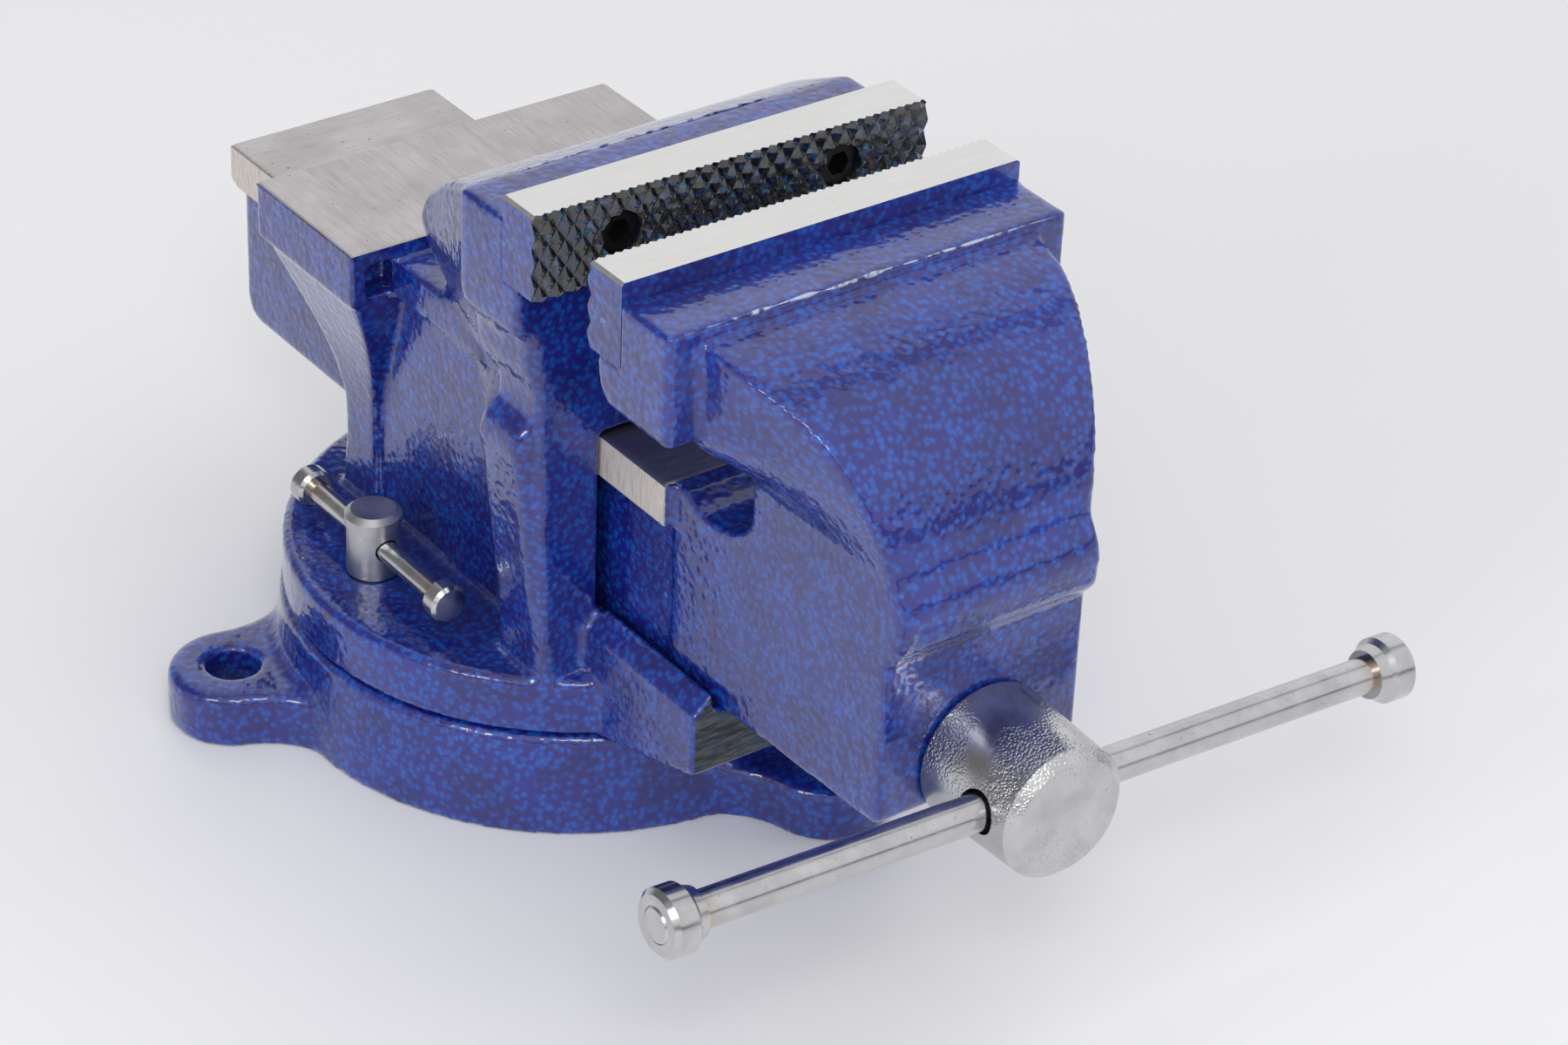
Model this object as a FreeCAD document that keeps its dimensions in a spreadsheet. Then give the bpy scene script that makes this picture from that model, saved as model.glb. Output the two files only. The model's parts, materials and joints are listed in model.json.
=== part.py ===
import FreeCAD, Part
import math
import os
import Sketcher

# Swivel-base bench vise with 100 mm jaws, in millimetres.
# Origin: centre of the base's underside, on the swivel axis. +Z is up, +X runs along the jaws,
# and the spindle handle is at the -Y end. The jaws stand open by jaw_gap in this rest position.

V = FreeCAD.Vector
X_AXIS, Y_AXIS, Z_AXIS = V(1, 0, 0), V(0, 1, 0), V(0, 0, 1)

doc = FreeCAD.newDocument("bench_vise")
sheet = doc.addObject("Spreadsheet::Sheet", "params")

SIZES = {
    # jaws
    "jaw_width": 100, "jaw_top": 159, "jaw_gap": 19.3, "fixed_face": -58.6,
    "plate_thick": 11.5, "plate_height": 19.7,
    "plate_screw_spread": 56, "plate_bore": 5, "plate_bore_deep": 7,
    "cap_head": 4.8, "cap_head_tall": 5, "cap_shank": 3, "cap_shank_long": 14,
    "socket_flats": 5, "socket_deep": 2.6,
    # swivel base
    "base_foot": 69.3, "base_top_radius": 67.3, "base_height": 24.9, "base_edge": 1.5,
    "lug_ring": 80, "lug_radius": 15, "lug_thick": 13.5, "lug_hole": 6, "lug_fillet": 22,
    "lug_flare": 4.5, "lug_edge": 2.5, "lug_count": 3, "lug_turn": 42,
    "slot_ring": 49.7, "slot_neck": 5.3, "slot_wide": 9.4, "slot_roof": 16.9, "slot_floor": 7,
    "slot_window": 10.5,
    # pivot
    "pivot_radius": 6, "running_gap": 0.05, "moving_gap": 0.3, "pivot_recess": 17,
    "pivot_recess_deep": 12, "pivot_washer_radius": 14, "pivot_washer_thick": 2.2,
    "pivot_head_flats": 18, "pivot_head_tall": 7.5, "pivot_thread": 11, "pivot_shank": 26.7,
    # fixed body
    "disc_radius": 66.6, "disc_thick": 14, "disc_edge": 1.8,
    "channel_half": 28.5, "channel_floor": 50, "channel_roof": 98.2,
    "column_front": -52.1, "column_rear": 42, "web_half": 33.5, "pillar_half": 44.5,
    "pillar_rear": -36, "rib_front": -50, "rib_rear": -34,
    "head_foot": 126.9, "head_top": 153.5, "head_back": -30, "hump_foot": 131,
    "hump_half": 45,
    "anvil_half": 47.2, "anvil_front": 18.2, "anvil_rear": 59.5, "anvil_top": 113.4,
    "anvil_thick": 14, "anvil_lip": 4,
    "tongue_half": 32, "tongue_front": -94, "rail_inner": 26.6, "rail_top": 54.5,
    # lock screws
    "lock_across": 49.2, "lock_along": 7, "lock_thread": 5, "lock_clear": 5.4,
    "lock_reach": 30.5, "lock_neck": 6.1, "lock_neck_tall": 12.4, "lock_head": 6.5,
    "lock_lip": 2.2, "lock_crown": 1.2, "lock_crown_inset": 1.4, "lock_bar_level": 7.5,
    "lock_bar_hole": 2.8, "lock_bar": 2.5, "lock_bar_long": 61.7, "lock_bar_shift": -1.5,
    "lock_cap": 4.6, "lock_cap_bevel": 0.8, "lock_cap_long": 5,
    "t_nut_half": 8.2, "t_nut_side": 8, "t_nut_thick": 7, "t_nut_neck": 4.2, "t_nut_boss": 5,
    "t_nut_boss_tall": 6, "t_nut_low": 9.4,
    # slide and movable jaw
    "slide_half": 28, "slide_top": 97.3, "flange_thick": 10.8, "slide_rear": 105,
    "slide_box_half": 24.7, "slide_floor": 50.4, "flange_front": -75.5, "slide_corner": 12,
    "cavity_half": 17, "cavity_roof": 80.5, "front_wall": 12.5,
    "block_half": 25.4, "block_front": -149.7, "block_rear": -102.2, "notch_floor": 93.9,
    "jaw_ledge": 154.3, "jaw_front": -106.4, "jaw_rear": -81.6, "jaw_foot": 128.8,
    "nose_half": 42, "scoop_level": 112,
    # spindle
    "spindle_level": 63.9, "spindle_thread": 8, "journal": 10,
    "spindle_head": 15, "head_rear_radius": 16, "spindle_head_long": 28.6,
    "spindle_head_edge": 2,
    "spindle_spigot": 9, "journal_long": 24.6, "spindle_long": 225, "spindle_tip": 1.5,
    "handle_hole": 4.9, "handle_from_front": 10.6,
    "thrust_washer": 12.8, "thrust_washer_thick": 2.5, "collar": 12.5, "collar_long": 9,
    "pin_radius": 2, "nut_half": 15.2, "nut_top": 77.5, "nut_front": -33, "nut_long": 26,
    "nut_foot_long": 46, "nut_foot_tall": 7, "nut_screw_spread": 22, "nut_screw_pitch": 36,
    # handle
    "handle_radius": 4, "handle_long": 192.8, "handle_shift": 3, "handle_tilt": 2.9,
    "handle_edge": 0.5, "knob_radius": 7.3, "knob_long": 9, "knob_taper": 2.4,
    "knob_bevel": 1.1, "knob_hub": 5.4, "knob_inset": 0.3,
}
for row, (alias, number) in enumerate(SIZES.items(), start=1):
    sheet.set(f"A{row}", alias)
    sheet.set(f"B{row}", str(number))
    sheet.setAlias(f"B{row}", alias)
doc.recompute()


def size(alias):
    """The sheet's value for one driving dimension."""
    return float(sheet.get(alias))


def total(terms):
    """The sum of signed aliases, such as 'head_long -edge'."""
    return sum(-size(t[1:]) if t.startswith("-") else size(t) for t in terms.split())


def formula(terms):
    """The same sum as an expression on the sheet."""
    parts = [f"- params.{t[1:]}" if t.startswith("-") else f"+ params.{t}" for t in terms.split()]
    return "0 " + " ".join(parts)


def bind(obj, **bindings):
    """Drives an object's properties from the sheet."""
    for name, terms in bindings.items():
        obj.setExpression(name, formula(terms))


def place(obj, x="", y="", z=""):
    """Drives an object's position from the sheet."""
    for axis, terms in (("x", x), ("y", y), ("z", z)):
        obj.setExpression(f"Placement.Base.{axis}", formula(terms) + " + 0")


def turned(label, profile):
    """A lathe-turned body about local Z: profile is (radius, height) corners as signed aliases."""
    body = doc.addObject("PartDesign::Body", label)
    body.Label = label
    plane = next(f for f in body.Origin.OriginFeatures if f.Role == "XZ_Plane")
    sketch = body.newObject("Sketcher::SketchObject", f"{label}_profile")
    sketch.AttachmentSupport = [(plane, "")]
    sketch.MapMode = "FlatFace"
    corners = [V(total(r), total(h), 0) for r, h in profile]
    for i, start in enumerate(corners):
        sketch.addGeometry(Part.LineSegment(start, corners[(i + 1) % len(corners)]), False)
    for i in range(len(corners)):
        sketch.addConstraint(Sketcher.Constraint("Coincident", i, 2, (i + 1) % len(corners), 1))
    for i, (radius, height) in enumerate(profile):
        for kind, terms, axis in (("DistanceX", radius, -2), ("DistanceY", height, -1)):
            if not terms:
                sketch.addConstraint(Sketcher.Constraint("PointOnObject", i, 1, axis))
                continue
            index = sketch.addConstraint(Sketcher.Constraint(kind, -1, 1, i, 1, total(terms)))
            sketch.setExpression(f"Constraints[{index}]", formula(terms))
    spin = body.newObject("PartDesign::Revolution", f"{label}_turning")
    spin.Profile = sketch
    spin.ReferenceAxis = (sketch, ["V_Axis"])
    spin.Angle = 360
    body.Tip = spin
    return body


def feature(label, shape):
    """A document object for a shape built by Part functions."""
    obj = doc.addObject("Part::Feature", label)
    obj.Label = label
    obj.Shape = shape
    return obj


def block(x0, x1, y0, y1, z0, z1):
    """A box between two corners."""
    return Part.makeBox(x1 - x0, y1 - y0, z1 - z0, V(x0, y0, z0))


def plate_yz(outline, x0, x1):
    """A (y, z) outline extruded from x0 to x1."""
    face = Part.Face(Part.makePolygon([V(x0, y, z) for y, z in outline + outline[:1]]))
    return face.extrude(V(x1 - x0, 0, 0))


def plate_xz(outline, y0, y1):
    """An (x, z) outline extruded from y0 to y1."""
    face = Part.Face(Part.makePolygon([V(x, y0, z) for x, z in outline + outline[:1]]))
    return face.extrude(V(0, y1 - y0, 0))


def smooth_yz(curve, closing, x0, x1):
    """A smooth (y, z) curve closed by straight runs through the closing points, extruded."""
    points = [V(x0, y, z) for y, z in curve]
    spline = Part.BSplineCurve()
    spline.interpolate(points)
    ends = [points[-1]] + [V(x0, y, z) for y, z in closing] + [points[0]]
    wire = Part.Wire([spline.toShape()] + [Part.makeLine(a, b) for a, b in zip(ends, ends[1:])])
    return Part.Face(wire).extrude(V(x1 - x0, 0, 0))


def rod_y(radius, y0, y1, x, z):
    return Part.makeCylinder(radius, y1 - y0, V(x, y0, z), Y_AXIS)


def rod_z(radius, z0, z1, x=0, y=0):
    return Part.makeCylinder(radius, z1 - z0, V(x, y, z0), Z_AXIS)


def both_sides(shape):
    """A shape together with its mirror image across the YZ plane."""
    return [shape, shape.mirror(V(0, 0, 0), X_AXIS)]


def edges_where(shape, test):
    """Edges whose box centre passes the test."""
    return [e for e in shape.Edges if test(e.BoundBox)]


def round_edges(shape, radius, test):
    """Fillets every edge whose box passes the test."""
    return shape.makeFillet(radius, edges_where(shape, test))


def level(box, z, spread=0.05):
    """True when an edge's box lies flat at height z."""
    return abs(box.ZMin - z) < spread and abs(box.ZMax - z) < spread


def loft_rects(sections):
    """A smooth solid through (z, half width, front y, rear y) rectangles."""
    wires = []
    for z, half, front, rear in sections:
        corners = [V(-half, front, z), V(half, front, z), V(half, rear, z), V(-half, rear, z)]
        wires.append(Part.makePolygon(corners + corners[:1]))
    return Part.makeLoft(wires, True, False)


# ---------------------------------------------------------------- swivel base

def lug_outline_solid():
    """One bolt lug pointing along +X, blended into the base circle by concave arcs."""
    ring, end, blend = size("lug_ring"), size("lug_radius"), size("lug_fillet")
    rim = size("base_top_radius")
    cx = ((rim + blend) ** 2 + ring ** 2 - (end + blend) ** 2) / (2 * ring)
    cy = math.sqrt((rim + blend) ** 2 - cx ** 2)
    centre = V(cx, cy, 0)
    on_rim = centre * (rim / (rim + blend))
    on_lug = V(ring, 0, 0) + (centre - V(ring, 0, 0)) * (end / (end + blend))
    toward = (on_rim + on_lug) * 0.5 - centre
    middle = centre + toward * (blend / toward.Length)

    def low(p):
        return V(p.x, -p.y, 0)

    edges = [
        Part.makeLine(V(0, 0, 0), on_rim),
        Part.Arc(on_rim, middle, on_lug).toShape(),
        Part.Arc(on_lug, V(ring + end, 0, 0), low(on_lug)).toShape(),
        Part.Arc(low(on_lug), low(middle), low(on_rim)).toShape(),
        Part.makeLine(low(on_rim), V(0, 0, 0)),
    ]
    lug = Part.Face(Part.Wire(edges)).extrude(V(0, 0, size("lug_thick")))

    def outer_top(box):
        return level(box, size("lug_thick")) and box.XMax > rim

    return round_edges(lug, size("lug_edge"), outer_top)


def swivel_base_shape():
    foot, top, height = size("base_foot"), size("base_top_radius"), size("base_height")
    base = Part.makeCone(foot, top, height)
    base = round_edges(base, size("base_edge"), lambda box: level(box, height))
    lug = lug_outline_solid()
    step = 360 / size("lug_count")
    for i in range(int(size("lug_count"))):
        turned_lug = lug.copy()
        turned_lug.rotate(V(0, 0, 0), Z_AXIS, size("lug_turn") + i * step)
        base = base.fuse(turned_lug)
    base = base.removeSplitter()
    thick = size("lug_thick")

    def root(box):
        inner = math.hypot((box.XMin + box.XMax) / 2, (box.YMin + box.YMax) / 2)
        return level(box, thick, 0.6) and inner < foot and box.DiagonalLength > 5

    base = round_edges(base, size("lug_flare"), root)
    ring, neck, wide = size("slot_ring"), size("slot_neck"), size("slot_wide")
    roof, floor = size("slot_roof"), size("slot_floor")
    cuts = [
        rod_z(ring + neck, roof - 1, height + 1).cut(rod_z(ring - neck, roof - 2, height + 2)),
        rod_z(ring + wide, floor, roof).cut(rod_z(ring - wide, floor - 1, roof + 1)),
        rod_z(size("slot_window"), floor, height + 1, 0, ring),
        rod_z(size("pivot_radius") + size("running_gap"), -1, height + 1),
        rod_z(size("pivot_recess"), -1, size("pivot_recess_deep")),
    ]
    for i in range(int(size("lug_count"))):
        angle = math.radians(size("lug_turn") + i * step)
        x, y = size("lug_ring") * math.cos(angle), size("lug_ring") * math.sin(angle)
        cuts.append(rod_z(size("lug_hole"), -1, thick + 1, x, y))
    return base.cut(cuts)


# ---------------------------------------------------------------- fixed body

def disc_top():
    return size("base_height") + size("moving_gap") + size("disc_thick")


def disc_shape():
    bottom = disc_top() - size("disc_thick")
    disc = rod_z(size("disc_radius"), bottom, disc_top())
    return disc.makeFillet(size("disc_edge"), edges_where(disc, lambda b: level(b, disc_top())))


def rib_shape():
    """The buttress on one side of the front pillar, leaning outwards as it rises."""
    bottom = disc_top() - size("disc_thick")
    outline = [(-30, bottom), (-42, bottom), (-43, 50), (-45.3, 73), (-47.2, 90), (-48.4, 97),
               (-47.6, 101.5), (-45, 104.5), (-40, 106.5), (-30, 106.5)]
    rib = plate_xz(outline, size("rib_front"), size("rib_rear"))
    return round_edges(rib, 1.6, lambda b: b.YLength < 0.01 and b.XMax < -41 and b.ZMin > 50)


def rear_flange_shape():
    """The wall behind the column, flaring out to carry the anvil table."""
    under = size("anvil_top") - size("anvil_thick")
    rear = size("column_rear")
    return loft_rects([
        (disc_top() - 2, 35.5, 29, rear), (52, 35.3, 29, rear), (64, 35.6, 28.5, rear + 0.4),
        (76, 37.6, 26, rear + 5), (88, 41.5, 22, rear + 11), (under + 2, 46.6, 18.8, rear + 17),
    ])


def flank_shape():
    """The column's upper sides, flaring out under the jaw."""
    front, web = size("column_front") + 0.6, size("web_half")
    back = size("head_back")
    return loft_rects([
        (80, web, front + 8, back), (98, web + 1.2, front + 4, back), (107, 40.6, front, back),
        (113, 44.7, front, back), (119, 46.2, front, back),
        (size("head_foot") + 3, 48.8, front, back),
    ])


def jaw_head_shape():
    """The fixed jaw: a level top and a seat for the plate, with a narrower rounded back."""
    half, back = size("jaw_width") / 2, size("head_back")
    seat = size("fixed_face") + size("plate_thick")
    foot, top, front = size("head_foot"), size("head_top"), size("column_front")
    ledge = size("jaw_top") - size("plate_height")
    slab = plate_yz([(front, foot), (front, ledge), (seat, ledge), (seat, top), (back - 1, top),
                     (back, top - 1), (back, foot)], -half, half)
    crown = [(back - 1, top), (back + 3, 151.9), (-21, 149.3), (-16, 146.6), (-12, 143.7),
             (-8, 140.4), (-5, 137.3), (-2.4, 133.6), (0.2, 129.8), (1.8, 126), (2.3, 122),
             (2.5, 112), (2.5, 80)]
    profile = smooth_yz(crown, [(seat, 80), (seat, top)], -half, half)
    return slab.fuse(profile.common(shoulder_shape()))


def shoulder_shape():
    """The block behind the jaw: narrower than the jaw, and tapering down into the column."""
    web, wide, foot = size("web_half"), size("hump_half"), size("hump_foot")
    levels = [(80, web, 0), (98, web + 0.8, 0), (107, 36.3, 0.3), (115, 39.3, 0.6),
              (122, 42.3, 0.85), (foot, wide, 1)]
    outlines = [shoulder_outline(z, half, flare) for z, half, flare in levels]
    return Part.makeLoft(outlines, True).fuse(Part.Face(outlines[-1]).extrude(V(0, 0, 40)))


def shoulder_outline(z, half, flare):
    """The plan outline at height z, with sides that curve inwards towards the back."""
    back, front, rear = size("head_back"), -44, 4
    side = [(half + 4.5 * flare, back - 1), (half + 3 * flare, back + 3), (half, -16),
            (half - 1.6, -8), (half - 3.2, -2), (half - 6, 1.6), (half - 12, rear)]
    right, left = Part.BSplineCurve(), Part.BSplineCurve()
    right.interpolate([V(x, y, z) for x, y in side])
    left.interpolate([V(-x, y, z) for x, y in reversed(side)])
    corners = [V(-side[0][0], back - 1, z), V(-side[0][0], front, z),
               V(side[0][0], front, z), V(side[0][0], back - 1, z)]
    end = Part.makeLine(V(side[-1][0], rear, z), V(-side[-1][0], rear, z))
    return Part.Wire([right.toShape(), end, left.toShape()]
                     + [Part.makeLine(a, b) for a, b in zip(corners, corners[1:])])


def tongue_shape():
    """The nose that carries the slide ahead of the column, with a low rail along each side."""
    floor, front = size("channel_floor"), size("tongue_front")
    half = size("tongue_half")
    bottom = disc_top() - size("disc_thick")
    body = plate_yz([(front, floor), (front, 35.2), (-66, bottom + 1.6), (-58, bottom),
                     (-40, bottom), (-40, floor)], -half, half)
    rail = plate_xz([(-half, floor - 1), (-half, floor), (-half + 4.5, size("rail_top")),
                     (-size("rail_inner"), size("rail_top")), (-size("rail_inner"), floor - 1)],
                    front, size("column_front") + 1)
    return body.fuse(both_sides(rail))


def anvil_shape():
    """The table behind the jaw: a machined slab with a thin lip over a cored front."""
    half, front, rear = size("anvil_half"), size("anvil_front"), size("anvil_rear")
    top, under = size("anvil_top"), size("anvil_top") - size("anvil_thick")
    slab = block(-half, half, front, rear, under, top)
    core = block(-half + 4, -size("web_half") - 1, front - 1, front + 7,
                 under - 1, top - size("anvil_lip"))
    bridge = block(-36, 36, -16, front + 2, under, top - size("anvil_lip"))
    return slab.cut(both_sides(core)).fuse(bridge)


def pillar_shape():
    """The front wall of the column, standing on the rim of the disc."""
    bottom = disc_top() - size("disc_thick")
    outline = [(-41.5, bottom), (-42.5, 50), (-44, 100), (-size("pillar_half"), 128)]
    outline += [(-x, z) for x, z in reversed(outline)]
    return plate_xz(outline, size("column_front"), size("pillar_rear"))


def fixed_body_shape():
    front, rear, web = size("column_front"), size("column_rear"), size("web_half")
    roof, floor = size("channel_roof"), size("channel_floor")
    under = size("anvil_top") - size("anvil_thick")
    core = block(-web, web, size("pillar_rear") - 2, rear - 4, disc_top() - 1, under + 6)
    parts = [core, pillar_shape(), rear_flange_shape(), flank_shape(), jaw_head_shape(),
             tongue_shape(), anvil_shape()] + both_sides(rib_shape())
    body = disc_shape().fuse(parts)
    half = size("channel_half")
    bore = size("pivot_radius")
    cuts = [block(-half, half, front - 1, size("anvil_rear") + 10, floor, roof),
            block(-size("rail_inner"), size("rail_inner"), size("tongue_front") - 1, front + 1,
                  floor, roof),
            rod_z(bore, 20, disc_top() - size("disc_thick") + size("pivot_thread") + 0.5)]
    for side in (-1, 1):
        cuts.append(rod_z(size("lock_clear"), 20, disc_top() + 1,
                          side * size("lock_across"), size("lock_along")))
        screw_x = side * size("plate_screw_spread") / 2
        seat = size("fixed_face") + size("plate_thick")
        cuts.append(rod_y(size("cap_shank"), seat - 8, seat + 12.5, screw_x, plate_middle()))
        for along in (-1, 1):
            cuts.append(rod_z(size("cap_shank"), floor - 12, floor + 1,
                              side * size("nut_screw_spread") / 2,
                              nut_middle() + along * size("nut_screw_pitch") / 2))
    return body.cut(cuts).removeSplitter()


def plate_middle():
    return size("jaw_top") - size("plate_height") / 2


def nut_middle():
    return size("nut_front") + size("nut_long") / 2


# ---------------------------------------------------------------- movable jaw and slide

def moving_face():
    return size("fixed_face") - size("jaw_gap")


def slide_shape():
    """The flanged bar that runs through the column, with its rear lower corner cut off."""
    half, top, rear = size("slide_half"), size("slide_top"), size("slide_rear")
    under, front = top - size("flange_thick"), size("flange_front")
    floor, box_half = size("slide_floor"), size("slide_box_half")
    flange = block(-half, half, front, rear, under, top)
    corner = size("slide_corner")
    box = plate_yz([(front - 4, floor), (rear - 5, floor), (rear - 1.4, floor + 1.6),
                    (rear, floor + 5), (rear, under + 1), (front - 4, under + 1)],
                   -box_half, box_half)
    toe = plate_yz([(rear - corner / 3, under - 1), (rear + 1, under - 1), (rear + 1, under + 3)],
                   -half - 1, half + 1)
    return flange.cut(toe).fuse(box)


def lower_block_shape():
    """The deep front block that carries the spindle, open above behind the jaw."""
    half, front, rear = size("block_half"), size("block_front"), size("block_rear")
    top = size("slide_top")
    notch = size("notch_floor")
    profile = [(size("flange_front"), size("slide_floor")), (-92, size("slide_floor")),
               (front + 2, 53), (front, 55), (front, 116), (rear, 116), (rear, notch + 10),
               (rear + 1, notch + 6), (rear + 3.2, notch + 3.4), (rear + 6.8, notch + 1.3),
               (rear + 11.7, notch), (rear + 16.2, notch + 0.1), (rear + 20, notch + 1.4),
               (rear + 22.9, notch + 2.9), (size("flange_front"), top - 0.2)]
    return plate_yz(profile, -half, half)


def nose_section(y, halves):
    """A wire across the nose at y, through the given half widths at even steps of height."""
    low, high = size("scoop_level"), size("jaw_ledge") - 2
    rise = (high - low) / (len(halves) - 1)
    right = [V(half, y, low + rise * n) for n, half in enumerate(halves)]
    left = [V(-p.x, p.y, p.z) for p in reversed(right)]
    sides = []
    for points in (right, left):
        spline = Part.BSplineCurve()
        spline.interpolate(points)
        sides.append(spline.toShape())
    over, under = Part.makeLine(right[-1], left[0]), Part.makeLine(left[-1], right[0])
    return Part.Wire([sides[0], over, sides[1], under])


def nose_shape():
    """The bulging front of the movable jaw, hollowed on both sides above the flat block."""
    half, wide = size("block_half"), size("nose_half")
    crown = [(-106, 151), (-110, 150.6), (-116.4, 149.4), (-121, 148), (-127.9, 145.1),
             (-132.2, 142.6), (-136.6, 139.2), (-140.7, 134.6), (-143.3, 131), (-145.4, 127),
             (-147.6, 122.4), (-149, 118.6), (-149.6, 115.6)]
    rear = size("block_rear")
    crown_body = smooth_yz(crown, [(-149.6, 110), (rear, 110), (rear, 150.8)], -wide - 1, wide + 1)
    sections = ((rear + 1, (half, 34.6, 42, wide, wide, wide)),
                (-110, (half, 32.8, 39.4, 40.9, 41.5, wide)),
                (-118, (half, 31, 36, 38.2, 39.8, 41.2)),
                (-127, (half, 29.3, 33, 35.2, 37.1, 39)),
                (-138, (half, 27.9, 30.4, 32.2, 33.7, 35)),
                (-152, (half, 26.9, 28.3, 29.5, 30.6, 31.5)))
    sides = Part.makeLoft([nose_section(y, halves) for y, halves in sections], True)
    return crown_body.common(sides)


def bead_shape():
    """The rolled moulding across the front, its ends flush with the block's sides."""
    curve = [(-149.5, 116), (-150.1, 113.4), (-151.6, 111), (-153.4, 108.4), (-154.4, 105.2),
             (-154.2, 101), (-153.1, 97.2), (-151.2, 94.6), (-149.4, 92.8)]
    half = size("block_half")
    return smooth_yz(curve, [(-140, 92), (-140, 116)], -half, half)


def jaw_block_shape():
    """The movable jaw's block: ledge in front of the plate and a rounded chin under it."""
    half, front, rear = size("jaw_width") / 2, size("jaw_front"), size("jaw_rear")
    seat = moving_face() - size("plate_thick")
    ledge = size("jaw_top") - size("plate_height")
    foot, top = size("jaw_foot"), size("jaw_ledge")
    profile = [(front, foot), (front, top), (seat, top), (seat, ledge), (rear - 0.3, ledge),
               (rear, ledge - 1.6), (rear, foot + 5), (rear - 1.2, foot + 2),
               (rear - 4, foot)]
    jaw = plate_yz(profile, -half, half)
    return round_edges(jaw, 1.2, lambda b: b.XLength < 0.01 and b.YLength < 0.01
                       and b.YMin < front + 1)


def under_jaw_shape():
    """The web that carries the jaw block back over the slide."""
    rear, foot = size("block_rear"), size("jaw_foot")
    return plate_yz([(rear - 2, 112), (rear, 112), (rear + 2, 117), (rear + 7, 122),
                     (rear + 15, foot + 0.5), (rear - 2, foot + 0.5)],
                    -size("block_half"), size("block_half"))


def movable_jaw_shape():
    body = slide_shape().fuse([lower_block_shape(), nose_shape(), bead_shape(),
                               jaw_block_shape(), under_jaw_shape()])
    wall = size("block_front") + size("front_wall")
    cavity = size("cavity_half")
    seat = moving_face() - size("plate_thick")
    cuts = [block(-cavity, cavity, wall, size("slide_rear") + 1, 40, size("cavity_roof")),
            rod_y(size("journal") + size("running_gap"), size("block_front") - 8, wall + 1, 0,
                  size("spindle_level"))]
    for side in (-1, 1):
        cuts.append(rod_y(size("cap_shank"), seat - 12.5, seat + 1,
                          side * size("plate_screw_spread") / 2, plate_middle()))
    return body.cut(cuts).removeSplitter()


# ---------------------------------------------------------------- plates and their screws

def jaw_plate(label, face_y, back):
    """A jaw plate from Part primitives: back is +1 when the casting is on the +Y side."""
    slab = doc.addObject("Part::Box", f"{label}_slab")
    bind(slab, Length="jaw_width", Width="plate_thick", Height="plate_height")
    holes = []
    for side in (-1, 1):
        for name, radius, depth in (("bore", "plate_bore", "plate_bore_deep"),
                                    ("drill", "cap_shank", "plate_thick")):
            hole = doc.addObject("Part::Cylinder", f"{label}_{name}_{side + 1}")
            bind(hole, Radius=radius, Height=depth)
            along = size("jaw_width") / 2 + side * size("plate_screw_spread") / 2
            start = 0 if back > 0 else size("plate_thick")
            hole.Placement = FreeCAD.Placement(V(along, start, size("plate_height") / 2),
                                               FreeCAD.Rotation(Z_AXIS, V(0, back, 0)))
            holes.append(hole)
    tools = doc.addObject("Part::MultiFuse", f"{label}_holes")
    tools.Shapes = holes
    plate = doc.addObject("Part::Cut", label)
    plate.Label = label
    plate.Base, plate.Tool = slab, tools
    low_y = face_y if back > 0 else face_y - size("plate_thick")
    plate.Placement.Base = V(-size("jaw_width") / 2, low_y,
                             size("jaw_top") - size("plate_height"))
    return plate


def cap_screw(head_y, x, z, direction, shank):
    """A socket cap screw with its head's inner face at head_y and its shank along direction."""
    back = V(0, -direction, 0)
    head = Part.makeCylinder(size("cap_head"), size("cap_head_tall"), V(x, head_y, z), back)
    head = head.fuse(Part.makeCylinder(size("cap_shank"), shank, V(x, head_y, z), -back))
    socket = hex_prism(size("socket_flats"), size("socket_deep") + 1)
    socket.Placement = FreeCAD.Placement(
        V(x, head_y, z) + back * (size("cap_head_tall") - size("socket_deep")),
        FreeCAD.Rotation(Z_AXIS, back))
    return head.cut(socket)


def hex_prism(flats, tall):
    """A hexagonal prism on the XY plane."""
    reach = flats / math.sqrt(3)
    corners = [V(reach * math.cos(math.radians(60 * i)), reach * math.sin(math.radians(60 * i)), 0)
               for i in range(6)]
    return Part.Face(Part.makePolygon(corners + corners[:1])).extrude(V(0, 0, tall))


def plate_screws_shape(face_y, direction):
    """The pair of screws that hold one jaw plate."""
    seat = face_y + direction * size("plate_bore_deep")
    reach = size("cap_shank_long")
    return Part.makeCompound([cap_screw(seat, side * size("plate_screw_spread") / 2,
                                        plate_middle(), direction, reach) for side in (-1, 1)])


# ---------------------------------------------------------------- spindle and nut

def spindle_nut_shape():
    """The fixed nut: a threaded block on a foot that is screwed to the channel floor."""
    half, top, floor = size("nut_half"), size("nut_top"), size("channel_floor")
    front, long = size("nut_front"), size("nut_long")
    foot_y = nut_middle() - size("nut_foot_long") / 2
    tower = block(-half, half, front, front + long, floor, top)
    tower = round_edges(tower, 5, lambda b: level(b, top) and b.XLength < 0.01)
    foot = block(-half, half, foot_y, foot_y + size("nut_foot_long"), floor,
                 floor + size("nut_foot_tall"))
    bore = size("spindle_thread") + size("running_gap")
    way = rod_y(bore, foot_y - 1, foot_y + size("nut_foot_long") + 1, 0, size("spindle_level"))
    cuts = [way]
    for x, y in nut_screw_places():
        cuts.append(rod_z(size("cap_shank"), floor - 1, floor + 10, x, y))
        cuts.append(rod_z(size("cap_head") + 0.1, floor + 2, floor + 10, x, y))
    return tower.fuse(foot).cut(cuts).removeSplitter()


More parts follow.
